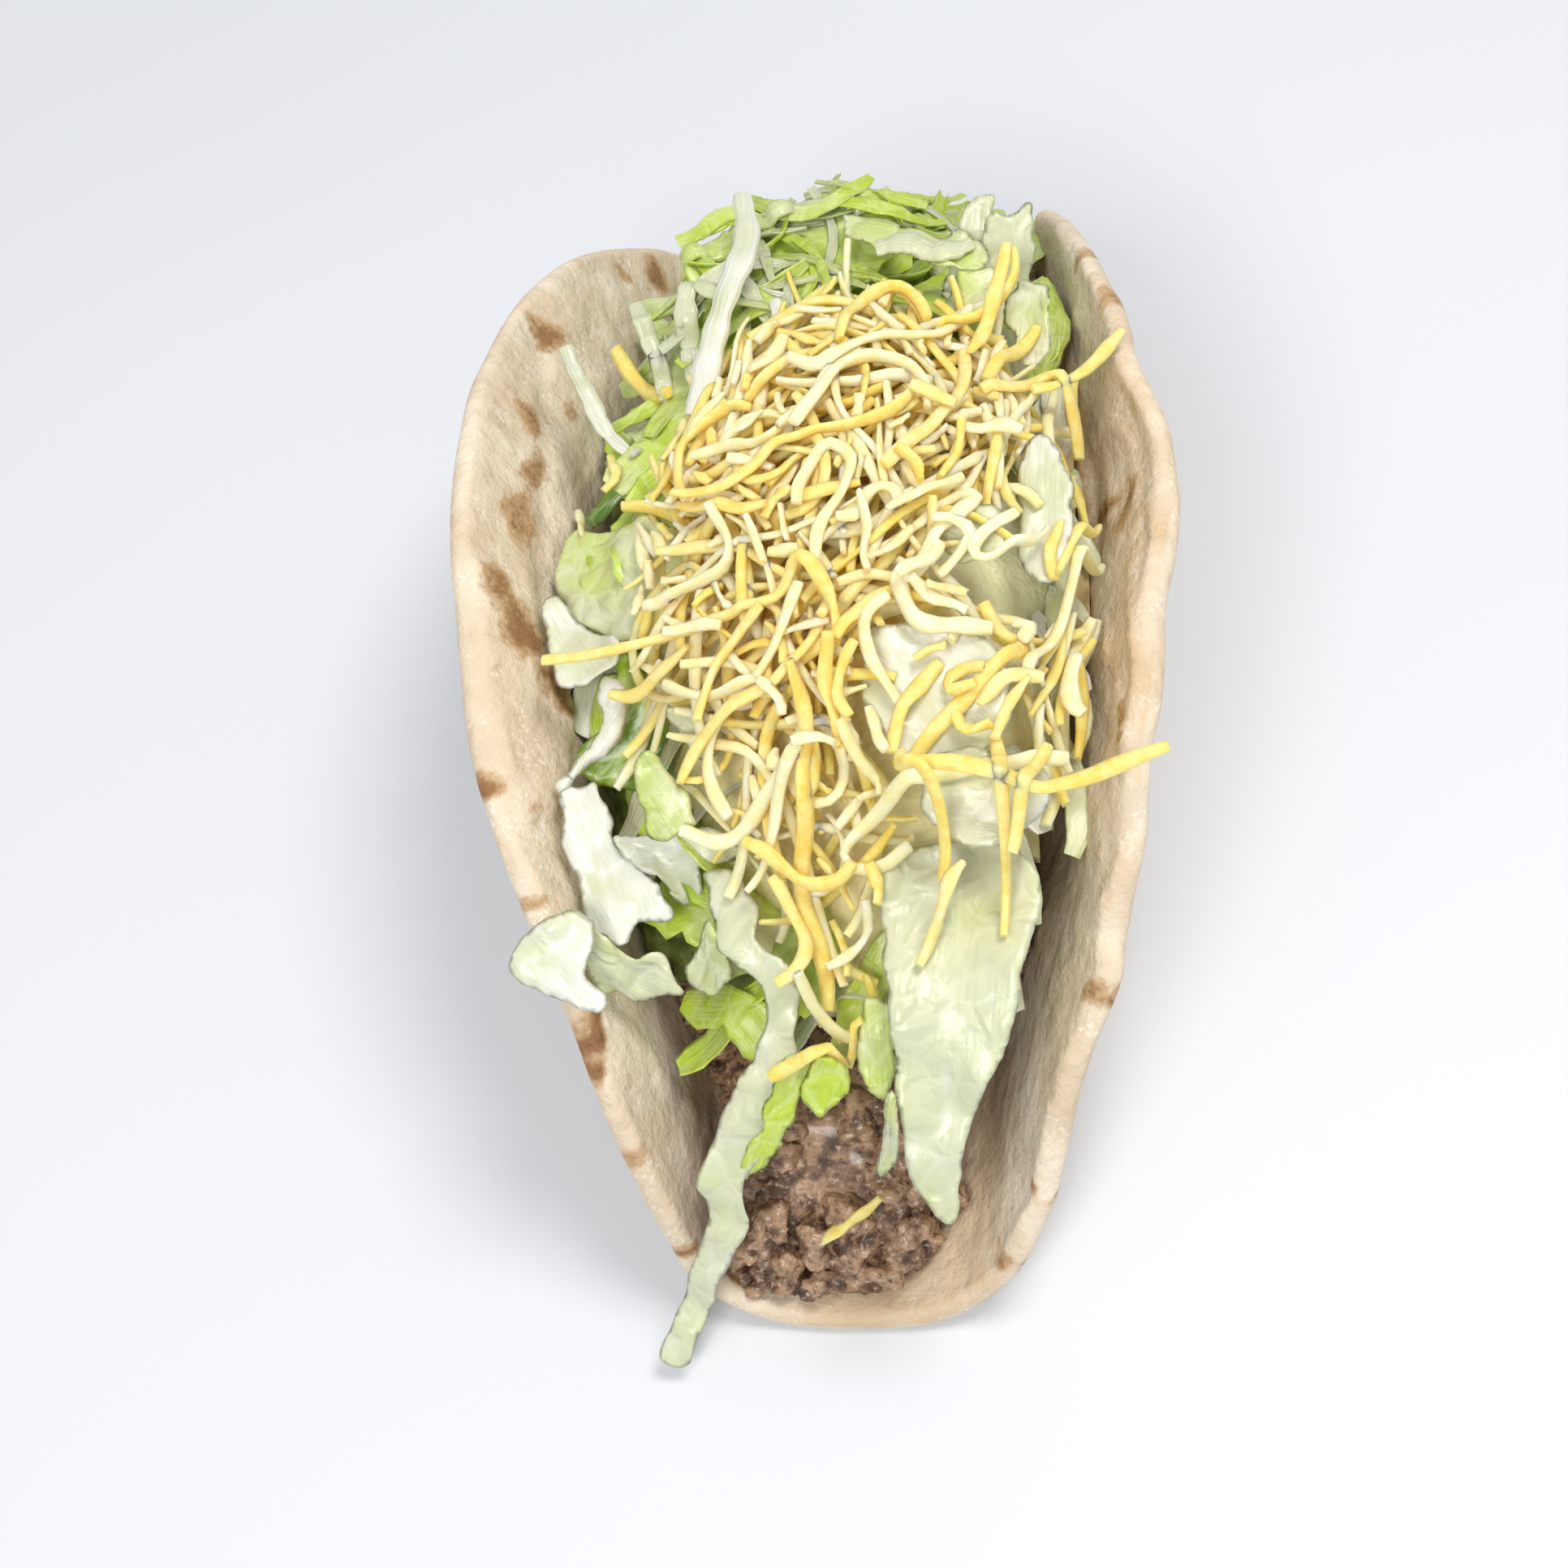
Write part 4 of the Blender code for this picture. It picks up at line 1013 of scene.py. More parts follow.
# name, tone (0 white, 1 dark green) and outline in mm
leafOutlines = (
    ("chunkLeft", 0.34, (
        (-27.9, -1.5, 49.5), (-24.4, -2.2, 51.0), (-17.2, -5.4, 53.4), (-10.6, -9.7, 55.6),
        (-9.4, -13.0, 55.9), (-13.3, -17.1, 54.5), (-17.3, -19.4, 53.0), (-21.6, -18.8, 51.5),
        (-24.1, -16.0, 50.7), (-27.6, -13.4, 49.3), (-29.5, -6.8, 48.7),
    )),
    ("stalkLeft", 0.04, (
        (-21.3, -25.0, 54.0), (-19.6, -25.8, 53.6), (-18.9, -27.5, 52.4), (-20.9, -30.6, 50.1),
        (-23.9, -32.8, 48.4), (-26.2, -35.0, 47.0), (-27.1, -33.8, 47.6), (-24.6, -31.1, 49.6),
        (-22.0, -28.5, 51.6), (-22.1, -26.2, 53.3),
    )),
    ("whiteLeft", 0.02, (
        (-26.4, -35.5, 47.6), (-24.4, -34.7, 47.9), (-22.4, -34.6, 48.0), (-21.1, -37.1, 47.1),
        (-20.6, -40.3, 45.9), (-18.6, -42.1, 45.2), (-16.4, -44.1, 44.5), (-14.7, -47.4, 43.2),
        (-16.8, -48.0, 42.9), (-18.4, -48.2, 42.8), (-19.3, -50.2, 42.0), (-21.7, -49.6, 42.2),
        (-24.2, -47.3, 43.0), (-24.6, -43.7, 44.5), (-26.0, -40.0, 45.9),
    )),
    ("greyLeft", 0.16, (
        (-20.7, -40.9, 45.0), (-16.3, -39.9, 46.5), (-10.5, -39.5, 47.0), (-8.5, -40.8, 45.8),
        (-8.0, -41.8, 44.6), (-11.8, -43.0, 43.0), (-12.3, -45.1, 40.2), (-15.3, -45.4, 40.0),
        (-16.2, -43.7, 41.8), (-18.9, -42.6, 43.0),
    )),
    ("lowLeft", 0.10, (
        (-30.7, -53.1, 44.3), (-29.1, -51.1, 45.6), (-27.2, -49.7, 46.6), (-23.5, -49.2, 47.0),
        (-22.1, -52.0, 45.3), (-22.8, -55.0, 43.3), (-21.0, -56.6, 42.3), (-22.3, -58.0, 41.5),
        (-26.7, -56.9, 42.0), (-29.0, -55.6, 42.7), (-30.6, -54.5, 43.4),
    )),
    ("lowDark", 0.30, (
        (-23.2, -49.5, 43.0), (-20.8, -50.6, 41.0), (-16.5, -50.6, 41.5), (-14.8, -51.6, 39.7),
        (-13.5, -52.9, 37.3), (-16.4, -53.0, 36.8), (-19.4, -53.4, 35.9), (-22.4, -53.9, 35.0),
        (-23.8, -52.1, 37.9),
    )),
    ("pointLeaf", 0.42, (
        (-15.3, -36.3, 56.0), (-16.9, -38.3, 54.5), (-16.7, -40.6, 52.7), (-16.0, -43.0, 51.0),
        (-12.4, -42.9, 51.1), (-10.8, -42.2, 51.7), (-11.3, -40.3, 53.2), (-12.5, -39.2, 54.0),
    )),
    ("darkLeaf", 0.92, (
        (-25.5, -29.5, 42.4), (-22.9, -27.2, 44.3), (-20.9, -26.1, 45.2), (-17.2, -23.6, 47.0),
        (-14.7, -25.2, 46.2), (-13.5, -28.3, 43.8), (-14.1, -30.8, 41.9), (-16.6, -32.7, 41.0),
        (-19.8, -32.8, 41.0), (-23.2, -32.0, 41.0),
    )),
    ("paleLeaf", 0.22, (
        (-14.1, -30.0, 55.0), (-10.6, -30.5, 54.7), (-7.8, -31.1, 54.2), (-9.3, -33.4, 51.6),
        (-11.5, -34.1, 51.0), (-12.9, -32.2, 52.7),
    )),
    ("stripFront", 0.20, (
        (-11.4, -44.9, 46.0), (-7.6, -44.7, 46.0), (-5.2, -48.4, 45.3), (-4.2, -52.1, 44.5),
        (-1.8, -53.9, 44.1), (-1.4, -56.7, 41.5), (-2.3, -61.0, 36.9), (-3.2, -64.1, 33.0),
        (-5.2, -66.6, 29.7), (-7.7, -68.5, 25.9), (-8.8, -69.4, 24.2), (-8.9, -71.9, 19.8),
        (-11.8, -74.0, 13.7), (-15.1, -77.2, 7.9), (-17.9, -80.7, 2.9), (-20.7, -80.1, 3.5),
        (-19.2, -77.6, 7.1), (-16.4, -74.3, 12.3), (-14.3, -71.9, 18.8), (-13.9, -69.1, 24.4),
        (-11.1, -65.3, 31.0), (-8.8, -62.8, 34.2), (-6.3, -60.1, 37.6), (-5.3, -56.7, 41.3),
        (-7.4, -54.4, 43.6), (-9.9, -52.9, 44.2), (-10.8, -49.2, 45.0),
    )),
    ("smallNear", 0.30, (
        (-11.1, -48.4, 41.0), (-9.4, -49.5, 40.1), (-8.2, -50.8, 38.8), (-8.7, -53.1, 36.5),
        (-10.8, -53.7, 36.0), (-13.7, -51.8, 37.6),
    )),
    ("greenStrip", 0.52, (
        (-3.9, -61.5, 35.6), (0.4, -61.0, 37.0), (-1.7, -63.5, 32.1), (-3.7, -65.9, 27.4),
        (-4.8, -67.1, 25.3), (-8.0, -68.7, 22.2), (-9.3, -69.9, 20.0), (-9.2, -67.6, 23.9),
        (-6.8, -65.8, 27.4),
    )),
    ("darkNear", 0.72, (
        (-0.0, -61.2, 38.0), (2.3, -61.7, 37.9), (3.7, -63.2, 36.2), (3.2, -64.5, 34.5),
        (0.5, -65.8, 33.0), (-1.6, -64.7, 34.1), (-1.2, -62.7, 36.5),
    )),
    ("slimNear", 0.42, (
        (5.4, -58.9, 43.0), (8.6, -59.6, 42.3), (8.6, -62.5, 38.5), (7.8, -65.0, 35.3), (6.9, -66.1, 34.0),
        (5.3, -63.8, 36.7), (4.8, -61.4, 39.7),
    )),
    ("frontLeaf", 0.22, (
        (7.4, -48.3, 49.5), (12.1, -44.0, 48.7), (18.4, -43.4, 48.5), (23.7, -48.2, 49.3),
        (21.7, -58.7, 47.0), (20.3, -63.3, 44.0), (18.2, -66.4, 41.2), (15.7, -69.5, 36.2),
        (14.5, -72.7, 31.4), (13.5, -75.6, 27.5), (10.7, -74.2, 29.0), (9.0, -71.3, 33.1),
        (8.7, -67.6, 38.5), (8.5, -61.0, 45.1),
    )),
    ("frontFold", 0.34, (
        (8.2, -66.5, 35.9), (7.0, -68.1, 33.7), (5.9, -70.1, 31.0), (6.4, -70.9, 30.0), (8.1, -69.8, 31.5),
        (8.6, -68.0, 33.9),
    )),
    ("whiteRight", 0.13, (
        (22.8, -8.8, 62.5), (24.4, -4.5, 63.4), (26.8, -5.4, 63.3), (28.0, -8.1, 62.7),
        (28.2, -11.7, 61.9), (27.5, -18.3, 60.5), (25.0, -20.5, 60.0), (22.8, -18.1, 60.5),
        (22.3, -13.0, 61.6),
    )),
    ("whiteTop", 0.12, (
        (15.0, -16.5, 66.5), (17.4, -15.8, 66.8), (20.6, -15.7, 66.9), (21.4, -17.8, 66.2),
        (20.8, -21.1, 65.0), (17.7, -20.8, 65.1), (15.7, -19.3, 65.6),
    )),
    ("paleMiddle", 0.13, (
        (7.3, -28.1, 63.6), (10.8, -27.4, 64.0), (14.9, -27.7, 63.9), (19.9, -29.8, 63.1),
        (21.8, -34.3, 61.0), (20.0, -38.6, 58.9), (14.4, -39.9, 58.1), (9.7, -38.3, 58.8),
        (7.3, -34.2, 60.7),
    )),
    ("paleRight", 0.20, (
        (12.4, -41.2, 58.6), (17.9, -39.8, 59.0), (24.0, -41.6, 58.7), (25.0, -44.6, 56.5),
        (20.3, -47.3, 54.2), (14.1, -46.2, 54.8),
    )),
    ("tipLeft", 0.16, (
        (14.9, 21.4, 54.6), (14.4, 24.0, 57.4), (15.9, 27.4, 61.3), (17.0, 30.0, 64.3), (19.7, 30.7, 65.0),
        (20.6, 29.8, 64.3), (19.9, 28.2, 62.4), (19.0, 26.8, 60.7), (19.4, 23.7, 57.4), (18.5, 21.1, 54.4),
    )),
    ("tipRight", 0.20, (
        (18.1, 21.8, 55.1), (18.9, 26.7, 60.8), (20.4, 27.9, 62.3), (22.3, 28.8, 63.4), (24.2, 29.4, 64.0),
        (24.4, 26.7, 61.2), (23.4, 24.2, 58.2), (23.5, 21.3, 54.9),
    )),
    ("farBig", 0.50, (
        (-15.0, 27.2, 58.8), (-11.5, 30.4, 58.6), (-7.5, 34.7, 58.3), (-2.6, 37.7, 58.1),
        (2.4, 39.5, 58.0), (3.1, 35.8, 58.2), (8.8, 33.0, 58.4), (9.7, 29.8, 58.6), (7.5, 25.4, 58.8),
        (5.0, 22.7, 59.0), (1.3, 22.7, 59.0), (-3.9, 26.7, 58.8), (-6.9, 24.6, 58.9), (-12.9, 23.0, 59.0),
    )),
    ("farStrip", 0.34, (
        (2.5, 32.7, 62.0), (7.2, 30.5, 62.2), (12.6, 27.9, 62.4), (19.5, 25.5, 62.6), (18.6, 22.1, 63.0),
        (13.9, 22.8, 63.0), (9.6, 24.9, 62.8), (3.9, 27.9, 62.5),
    )),
    ("farBright", 0.62, (
        (-15.0, 25.9, 56.9), (-11.9, 26.9, 57.0), (-8.9, 27.4, 57.0), (-5.0, 23.5, 56.8),
        (-2.1, 16.7, 56.2), (-3.8, 13.6, 56.0), (-6.8, 13.1, 56.0), (-10.3, 15.7, 56.1),
        (-14.4, 19.0, 56.4),
    )),
    ("farBlob", 0.50, (
        (0.2, 23.0, 60.0), (3.6, 22.5, 60.0), (5.9, 19.3, 60.0), (4.1, 15.5, 60.0), (1.2, 16.3, 60.0),
        (-0.3, 19.6, 60.0),
    )),
    ("farPale", 0.40, (
        (8.8, 17.8, 61.0), (12.1, 19.3, 61.0), (15.9, 21.3, 61.0), (20.3, 21.9, 61.0), (19.4, 17.3, 61.0),
        (14.9, 15.1, 61.0), (10.7, 15.5, 61.0),
    )),
    ("farRight", 0.26, (
        (21.9, 21.5, 60.0), (24.5, 21.0, 60.0), (26.1, 18.7, 59.6), (26.0, 12.8, 58.5), (23.6, 10.4, 58.0),
        (21.7, 13.9, 58.6),
    )),
    ("wallLeft", 0.14, (
        (-30.1, -12.5, 49.6), (-28.5, -11.3, 49.7), (-25.7, -14.4, 49.5), (-22.3, -17.1, 49.2),
        (-21.0, -19.3, 49.0), (-22.0, -21.4, 49.0), (-25.1, -23.0, 49.0), (-27.8, -21.7, 49.0),
        (-29.3, -17.2, 49.2),
    )),
)
threadLines = (
    ("farThinA", 0.12, 2.0, (
        (-28.7, 18.4, 58.0), (-27.7, 15.9, 56.8), (-26.1, 13.0, 55.4), (-24.1, 9.2, 53.6),
        (-20.3, 5.8, 52.0),
    )),
    ("farThinB", 0.14, 2.2, (
        (-21.4, 25.1, 57.0), (-20.3, 22.1, 56.8), (-19.0, 18.8, 55.3), (-18.1, 16.3, 54.1),
        (-17.9, 13.7, 53.0),
    )),
    ("farThinC", 0.16, 2.6, (
        (-13.6, 24.4, 58.8), (-14.4, 21.9, 57.8), (-14.6, 19.4, 56.8), (-14.2, 14.6, 55.0),
    )),
    ("farThinD", 0.10, 1.9, (
        (-4.2, 19.5, 62.0), (-3.4, 16.3, 61.7), (-2.2, 13.6, 61.4), (-0.4, 11.0, 61.1), (2.2, 9.4, 61.0),
    )),
    ("farThinE", 0.25, 1.9, ((-14.1, 23.7, 57.0), (-11.6, 21.5, 57.0), (-9.0, 21.0, 57.0))),
    ("farEdge", 0.42, 3.4, (
        (-21.5, 26.7, 54.0), (-17.1, 27.4, 54.3), (-12.4, 29.4, 55.3), (-7.6, 32.4, 56.8),
        (-1.3, 35.1, 58.0),
    )),
    ("farCross", 0.22, 3.0, ((7.0, 25.0, 60.0), (10.4, 25.4, 60.0), (13.9, 24.0, 60.0), (17.7, 25.1, 60.0))),
)

leafNodes = {
    "frontLeaf": "lettuce_leaf_front", "stripFront": "lettuce_strip_front", "stalkLeft": "lettuce_stalk_left",
    "whiteLeft": "lettuce_leaf_left", "lowLeft": "lettuce_leaf_left_low",
    "chunkLeft": "lettuce_chunk_left", "pointLeaf": "lettuce_leaf_point", "farStrip": "lettuce_ribbon_back",
    "tipLeft": "lettuce_tip_back_left", "tipRight": "lettuce_tip_back_right", "whiteRight": "lettuce_leaf_right",
}
# grid step and thicknesses in mm
leafStep = 0.5
thinLeaf = 0.26
leafThick = {"chunkLeft": 1.6, "stalkLeft": 1.3, "frontLeaf": 0.45}
# ruffle and ragged edge in mm
looseLeaf, farLeaf = (1.2, 0.55), (1.5, 0.7)
stiffLeaves = {"frontLeaf": (0.5, 0.30), "stripFront": (0.8, 0.20)}


def insideLoop(loop, places):
    x, y = places[:, 0][:, None], places[:, 1][:, None]
    x0, y0 = loop[:, 0][None], loop[:, 1][None]
    x1, y1 = np.roll(loop[:, 0], -1)[None], np.roll(loop[:, 1], -1)[None]
    cross = ((y0 > y) != (y1 > y)) & (x < (x1 - x0) * (y - y0) / np.where(y1 == y0, 1e-12, y1 - y0) + x0)
    return cross.sum(1) % 2 == 1


def loopDistance(loop, places):
    a, b = loop[None], np.roll(loop, -1, axis=0)[None]
    d = b - a
    t = np.clip(((places[:, None] - a) * d).sum(-1) / np.maximum(1e-18, (d * d).sum(-1)), 0, 1)
    return np.linalg.norm(places[:, None] - a - d * t[..., None], axis=-1).min(1)


def leafSheet(rng, outline, tone, rest, field, thick, ruffle, ragged):
    outline = np.array(outline) * mm
    line = smoothLoop(outline, 0.45 * mm)
    centre = outline.mean(axis=0)
    _, _, axes = np.linalg.svd(outline - centre)
    firstAxis, secondAxis, upAxis = axes
    if upAxis[2] < 0:
        upAxis = -upAxis
    loop = np.stack([(line - centre) @ firstAxis, (line - centre) @ secondAxis], -1)
    ahead = np.roll(loop, -1, axis=0) - np.roll(loop, 1, axis=0)
    out = np.stack([ahead[:, 1], -ahead[:, 0]], -1) / np.maximum(1e-9, np.linalg.norm(ahead, axis=1))[:, None]
    seed = int(rng.integers(1, 9999))
    flat3 = np.column_stack([loop, loop[:, 0] * 0])
    push = cloud(flat3, 2.4 * mm, seed) * ragged + cloud(flat3, 0.9 * mm, seed + 1) * ragged * 0.35
    loop = loop + out * (push * mm)[:, None]
    low, high = loop.min(axis=0), loop.max(axis=0)
    rows, columns = [np.arange(low[axis], high[axis], leafStep * mm) for axis in (0, 1)]
    rows, columns = np.meshgrid(rows, columns, indexing="ij")
    grid = np.column_stack([rows.ravel(), columns.ravel()])
    grid = grid + rng.uniform(-0.1, 0.1, (rows.size, 2)) * leafStep * mm
    grid = grid[insideLoop(loop, grid)]
    grid = grid[loopDistance(loop, grid) > 0.28 * mm]
    places = np.concatenate([loop, grid])
    count = len(loop)
    dots = [Vector(place) for place in places]
    flats, _, faces, origins, _, _ = geometry.delaunay_2d_cdt(dots, [], [list(range(count))], 1, 1e-7)
    flats = np.array([tuple(place) for place in flats])
    edge = np.array([any(index < count for index in origin) for origin in origins])
    faces = [face for face in faces if not edge[list(face)].all()]
    away = loopDistance(loop, flats)
    away[edge] = 0.0
    known = np.stack([(outline - centre) @ firstAxis, (outline - centre) @ secondAxis], -1)
    offsets = (outline - centre) @ upAxis
    weights = 1.0 / (np.linalg.norm(flats[:, None] - known[None], axis=-1) + 1.5 * mm) ** 3
    height = (weights * offsets).sum(1) / weights.sum(1)
    flat3 = np.column_stack([flats, flats[:, 0] * 0])
    ridge = (1.0 - np.abs(cloud(flat3 * (0.45, 1.0, 1.0), 3.4 * mm, seed + 4))) ** 2 - 0.4
    wave = cloud(flat3, 6.5 * mm, seed + 2) * 1.1 + cloud(flat3, 2.8 * mm, seed + 3) * 0.50 + ridge * 0.35
    half = max(1e-4, away.max())
    height = height + wave * ruffle * mm * (0.45 + 0.55 * (1.0 - ease(away / half)))
    points = centre + flats[:, :1] * firstAxis + flats[:, 1:] * secondAxis + height[:, None] * upAxis
    lift = np.zeros(len(points))
    if rest:
        lift = np.maximum(0.0, rest.at(points[:, 0], points[:, 1]) + 0.3 * mm - points[:, 2])
    links = np.array([(face[i], face[(i + 1) % 3]) for face in faces for i in range(3)])
    held = lift.copy()
    for _ in range(14):
        total, number = np.zeros(len(lift)), np.zeros(len(lift))
        for near, far in ((0, 1), (1, 0)):
            np.add.at(total, links[:, near], lift[links[:, far]])
            np.add.at(number, links[:, near], 1)
        lift = np.maximum(held, 0.4 * lift + 0.6 * total / np.maximum(1, number))
    points[:, 2] += np.minimum(lift, 3.0 * mm)
    corners = points[np.array(faces)]
    faceNormals = np.cross(corners[:, 1] - corners[:, 0], corners[:, 2] - corners[:, 0])
    normals = np.zeros_like(points)
    for i in range(3):
        np.add.at(normals, np.array(faces)[:, i], faceNormals)
    normals = normals / np.maximum(1e-15, np.linalg.norm(normals, axis=1))[:, None]
    if (normals @ upAxis).mean() < 0:
        normals = -normals
    swell = (thick / 2 * mm * np.sqrt(np.clip(away / (0.5 * mm), 0, 1)))[:, None]
    inner = np.flatnonzero(~edge)
    under = np.arange(len(points))
    under[inner] = len(points) + np.arange(len(inner))
    allPoints = np.concatenate([points + normals * swell, points[inner] - normals[inner] * swell[inner]])
    allFaces = [list(face) for face in faces] + [[int(under[index]) for index in reversed(face)] for face in faces]
    span = max(1e-4, np.abs(flats[:, 1]).max())
    both = np.concatenate([np.arange(len(points)), inner])
    values = {
        "tone": np.full(len(both), tone), "across": (flats[:, 1] / span)[both],
        "run": ((flats[:, 0] - low[0]) / (high[0] - low[0]))[both], "edge": np.clip(away / (2 * mm), 0, 1)[both],
    }
    for x, y, z in points:
        i, j = cellOf(x, y)
        if 1 <= i < len(gridX) - 1 and 1 <= j < len(gridY) - 1:
            patch = field.height[i - 1:i + 2, j - 1:j + 2]
            np.maximum(patch, z, out=patch)
    return allPoints, allFaces, values


def buildLeaves(look, field):
    rng = np.random.default_rng(lettuce["leafSeed"])
    loose = []
    for name, tone, outline in leafOutlines:
        ruffle, ragged = stiffLeaves.get(name, farLeaf if name.startswith("far") else looseLeaf)
        rest = None if name in stiffLeaves else field
        thick = leafThick.get(name, thinLeaf)
        points, faces, values = leafSheet(rng, outline, tone, rest, field, thick, ruffle, ragged)
        if name in leafNodes:
            made = meshObject(name, points, faces, look, values)
            faceOut(made)
            show(made, "lettuce", leafNodes[name])
        else:
            loose.append((points, faces, values))
    allPoints, allFaces, start = [], [], 0
    for points, faces, values in loose:
        allPoints.append(points)
        allFaces += [[index + start for index in face] for face in faces]
        start += len(points)
    joined = {key: np.concatenate([values[key] for _, _, values in loose]) for key in loose[0][2]}
    made = meshObject("lettuceLeaves", np.concatenate(allPoints), allFaces, look, joined)
    faceOut(made)
    show(made, "lettuce", "lettuce_heap")


def buildStrips(look, field):
    rng = np.random.default_rng(lettuce["stripSeed"])
    points = smoothLine(np.array(lettuce["rib"]) * mm, 0.6 * mm)
    strip = leafStrip(
        rng, points, lettuce["ribWidth"] * mm, lettuce["ribTone"], lettuce["ribRuffle"] * mm, ends=lettuce["ribEnds"],
    )
    made = sweep("ribBack", [strip], look, lettuce["ribShape"])
    show(made, "lettuce", "lettuce_rib_back")
    thin = []
    x0, x1, y0, y1 = lettuce["thinBox"]
    least, most = lettuce["thinHeights"]
    for _ in range(lettuce["thinTries"]):
        centre = np.array((rng.uniform(x0, x1), rng.uniform(y0, y1))) * mm
        path = strandPlan(rng, centre, rng.normal(0.3, 0.9), rng.uniform(7, 22) * mm, 1 / (9 * mm), 1 / (16 * mm))
        wide = rng.uniform(0.8, 2.2) * mm
        points = layDown(field, path, 0.4 * wide, 0.3 * mm, 40)
        fits = field.at(path[:, 0], path[:, 1]).min() > least * mm and points[:, 2].max() < most * mm
        gentle = np.abs(np.diff(points[:, 2])).max() < lettuce["thinSteep"] * mm
        if fits and gentle and len(thin) < lettuce["thinMost"]:
            field.stamp(points, 0.4 * wide, 0.3 * mm)
            tone = float(np.clip(rng.normal(0.46, 0.14), 0, 1))
            thin.append(leafStrip(rng, points, wide, tone, 0.5 * mm, 0.3 * mm, rng.normal(0, 0.5), (0.8, 0.5)))
    for _, tone, wide, line in threadLines:
        points = smoothLine(np.array(line) * mm, 0.6 * mm)
        points[:, 2] = np.maximum(points[:, 2], field.at(points[:, 0], points[:, 1]) + 0.5 * mm)
        thin.append(leafStrip(rng, points, wide * mm, tone, 0.3 * mm, ends=(0.8, 0.6)))
    made = sweep("lettuceThreads", thin, look, lettuce["threadShape"])
    show(made, "lettuce", "lettuce_heap")


# Beef

beef = dict(
    crumbs={"Density": 85000.0, "Crumb": 1.9 * mm, "Seed": 3, "Bare From": 42 * mm},
    lumpSize=5 * mm, lumpHeight=1.8 * mm, lumpSeed=71, floorGap=0.5 * mm, sink=3.3 * mm, farCut=1.5 * mm,
    # the near end narrows to a pile
    pileFrom=-42 * mm, pileOver=12 * mm, pileHalf=12.5 * mm, pileEnd=-63 * mm, pileRun=11 * mm, pileHeight=22 * mm,
    dark=(0.09, 0.038, 0.016), cooked=(0.44, 0.27, 0.155), paintedHighlight=(0.74, 0.55, 0.41), creviceShade=(0.055, 0.020, 0.008),
)


def beefLook():
    made, board = material("beef", 0.45, 0.10, (1.0, 0.4, 0.25), 0.3 * mm, coat=0.45)
    clump = board.grain(3.2 * mm, 3.0, 0.6)
    small = board.grain(0.9 * mm, 4.0, 0.7)
    relief = board.grain(1 / 420.0, 1.0)
    # darker in the dents and lighter on the raised lumps, keyed to the noise that moves the crumbs: painted shade,
    # mixed with random clump tone
    base = board.mix(beef["dark"], beef["cooked"], (relief * 0.5 + clump * 0.5).between(0.40, 0.58))
    # painted highlight: a light glint colour on random specks
    base = board.mix(base, beef["paintedHighlight"], small.between(0.52, 0.68) * 0.75)
    # painted shade: near-black in the low spots of the bump noise
    base = board.mix(base, beef["creviceShade"], small.between(0.48, 0.30) * 0.9)
    rough = 0.25 + small * 0.45
    plug(board, base, rough, [(small, 0.30 * mm), (board.grain(0.35 * mm, 3.0), 0.08 * mm)])
    return made


def beefTree():
    tree = bpy.data.node_groups.new("beefCrumbs", "GeometryNodeTree")
    board, given = treeInputs(tree, (
        ("Geometry", "NodeSocketGeometry", None), ("Density", "NodeSocketFloat", 60000.0),
        ("Crumb", "NodeSocketFloat", 0.0021), ("Seed", "NodeSocketInt", 3),
        ("Bare From", "NodeSocketFloat", 0.042), ("Material", "NodeSocketMaterial", None),
    ))
    here = board.node("GeometryNodeInputPosition")
    along = board.node("ShaderNodeMath", {"operation": "ABSOLUTE"}, {0: board.axis(here, 1)})
    showing = board.node(
        "FunctionNodeCompare", {"data_type": "FLOAT", "operation": "GREATER_THAN"}, {0: along, 1: given["Bare From"]},
    )
    dots = board.node(
        "GeometryNodeDistributePointsOnFaces", {"distribute_method": "RANDOM"},
        {"Mesh": given["Geometry"], "Selection": showing, "Density": given["Density"], "Seed": given["Seed"]},
    )
    ball = board.node("GeometryNodeMeshIcoSphere", None, {"Radius": 1.0, "Subdivisions": 3})
    turn, size = [
        board.node(
            "FunctionNodeRandomValue", {"data_type": "FLOAT_VECTOR"}, {0: (low,) * 3, 1: (high,) * 3, "Seed": seed},
        )
        for low, high, seed in ((0.0, 6.28, 5), (0.55, 1.5, 6))
    ]
    crumbs = board.node(
        "GeometryNodeInstanceOnPoints", None,
        {"Points": dots, "Instance": ball, "Rotation": turn, "Scale": size * given["Crumb"]},
    )
    loose = board.node("GeometryNodeRealizeInstances", None, {"Geometry": crumbs})
    normal = board.node("GeometryNodeInputNormal")
    lumpy, rough = [
        board.node(
            "ShaderNodeTexNoise", {"noise_dimensions": "3D"},
            {"Vector": here, "Scale": scale, "Detail": detail, "Roughness": roughness},
        )
        for scale, detail, roughness in ((420.0, 1.0, 0.5), (1300.0, 2.0, 0.6))
    ]
    offset = normal * ((lumpy - 0.5) * 0.0038 + (rough - 0.5) * 0.0020)
    rougher = board.node("GeometryNodeSetPosition", None, {"Geometry": loose, "Offset": offset})
    both = tree.nodes.new("GeometryNodeJoinGeometry")
    for part in (rougher, given["Geometry"]):
        tree.links.new(part.socket, both.inputs[0])
    return treeEnd(board, Wire(board, both.outputs[0]), given["Material"])


thinnestCore = 0.3 * mm


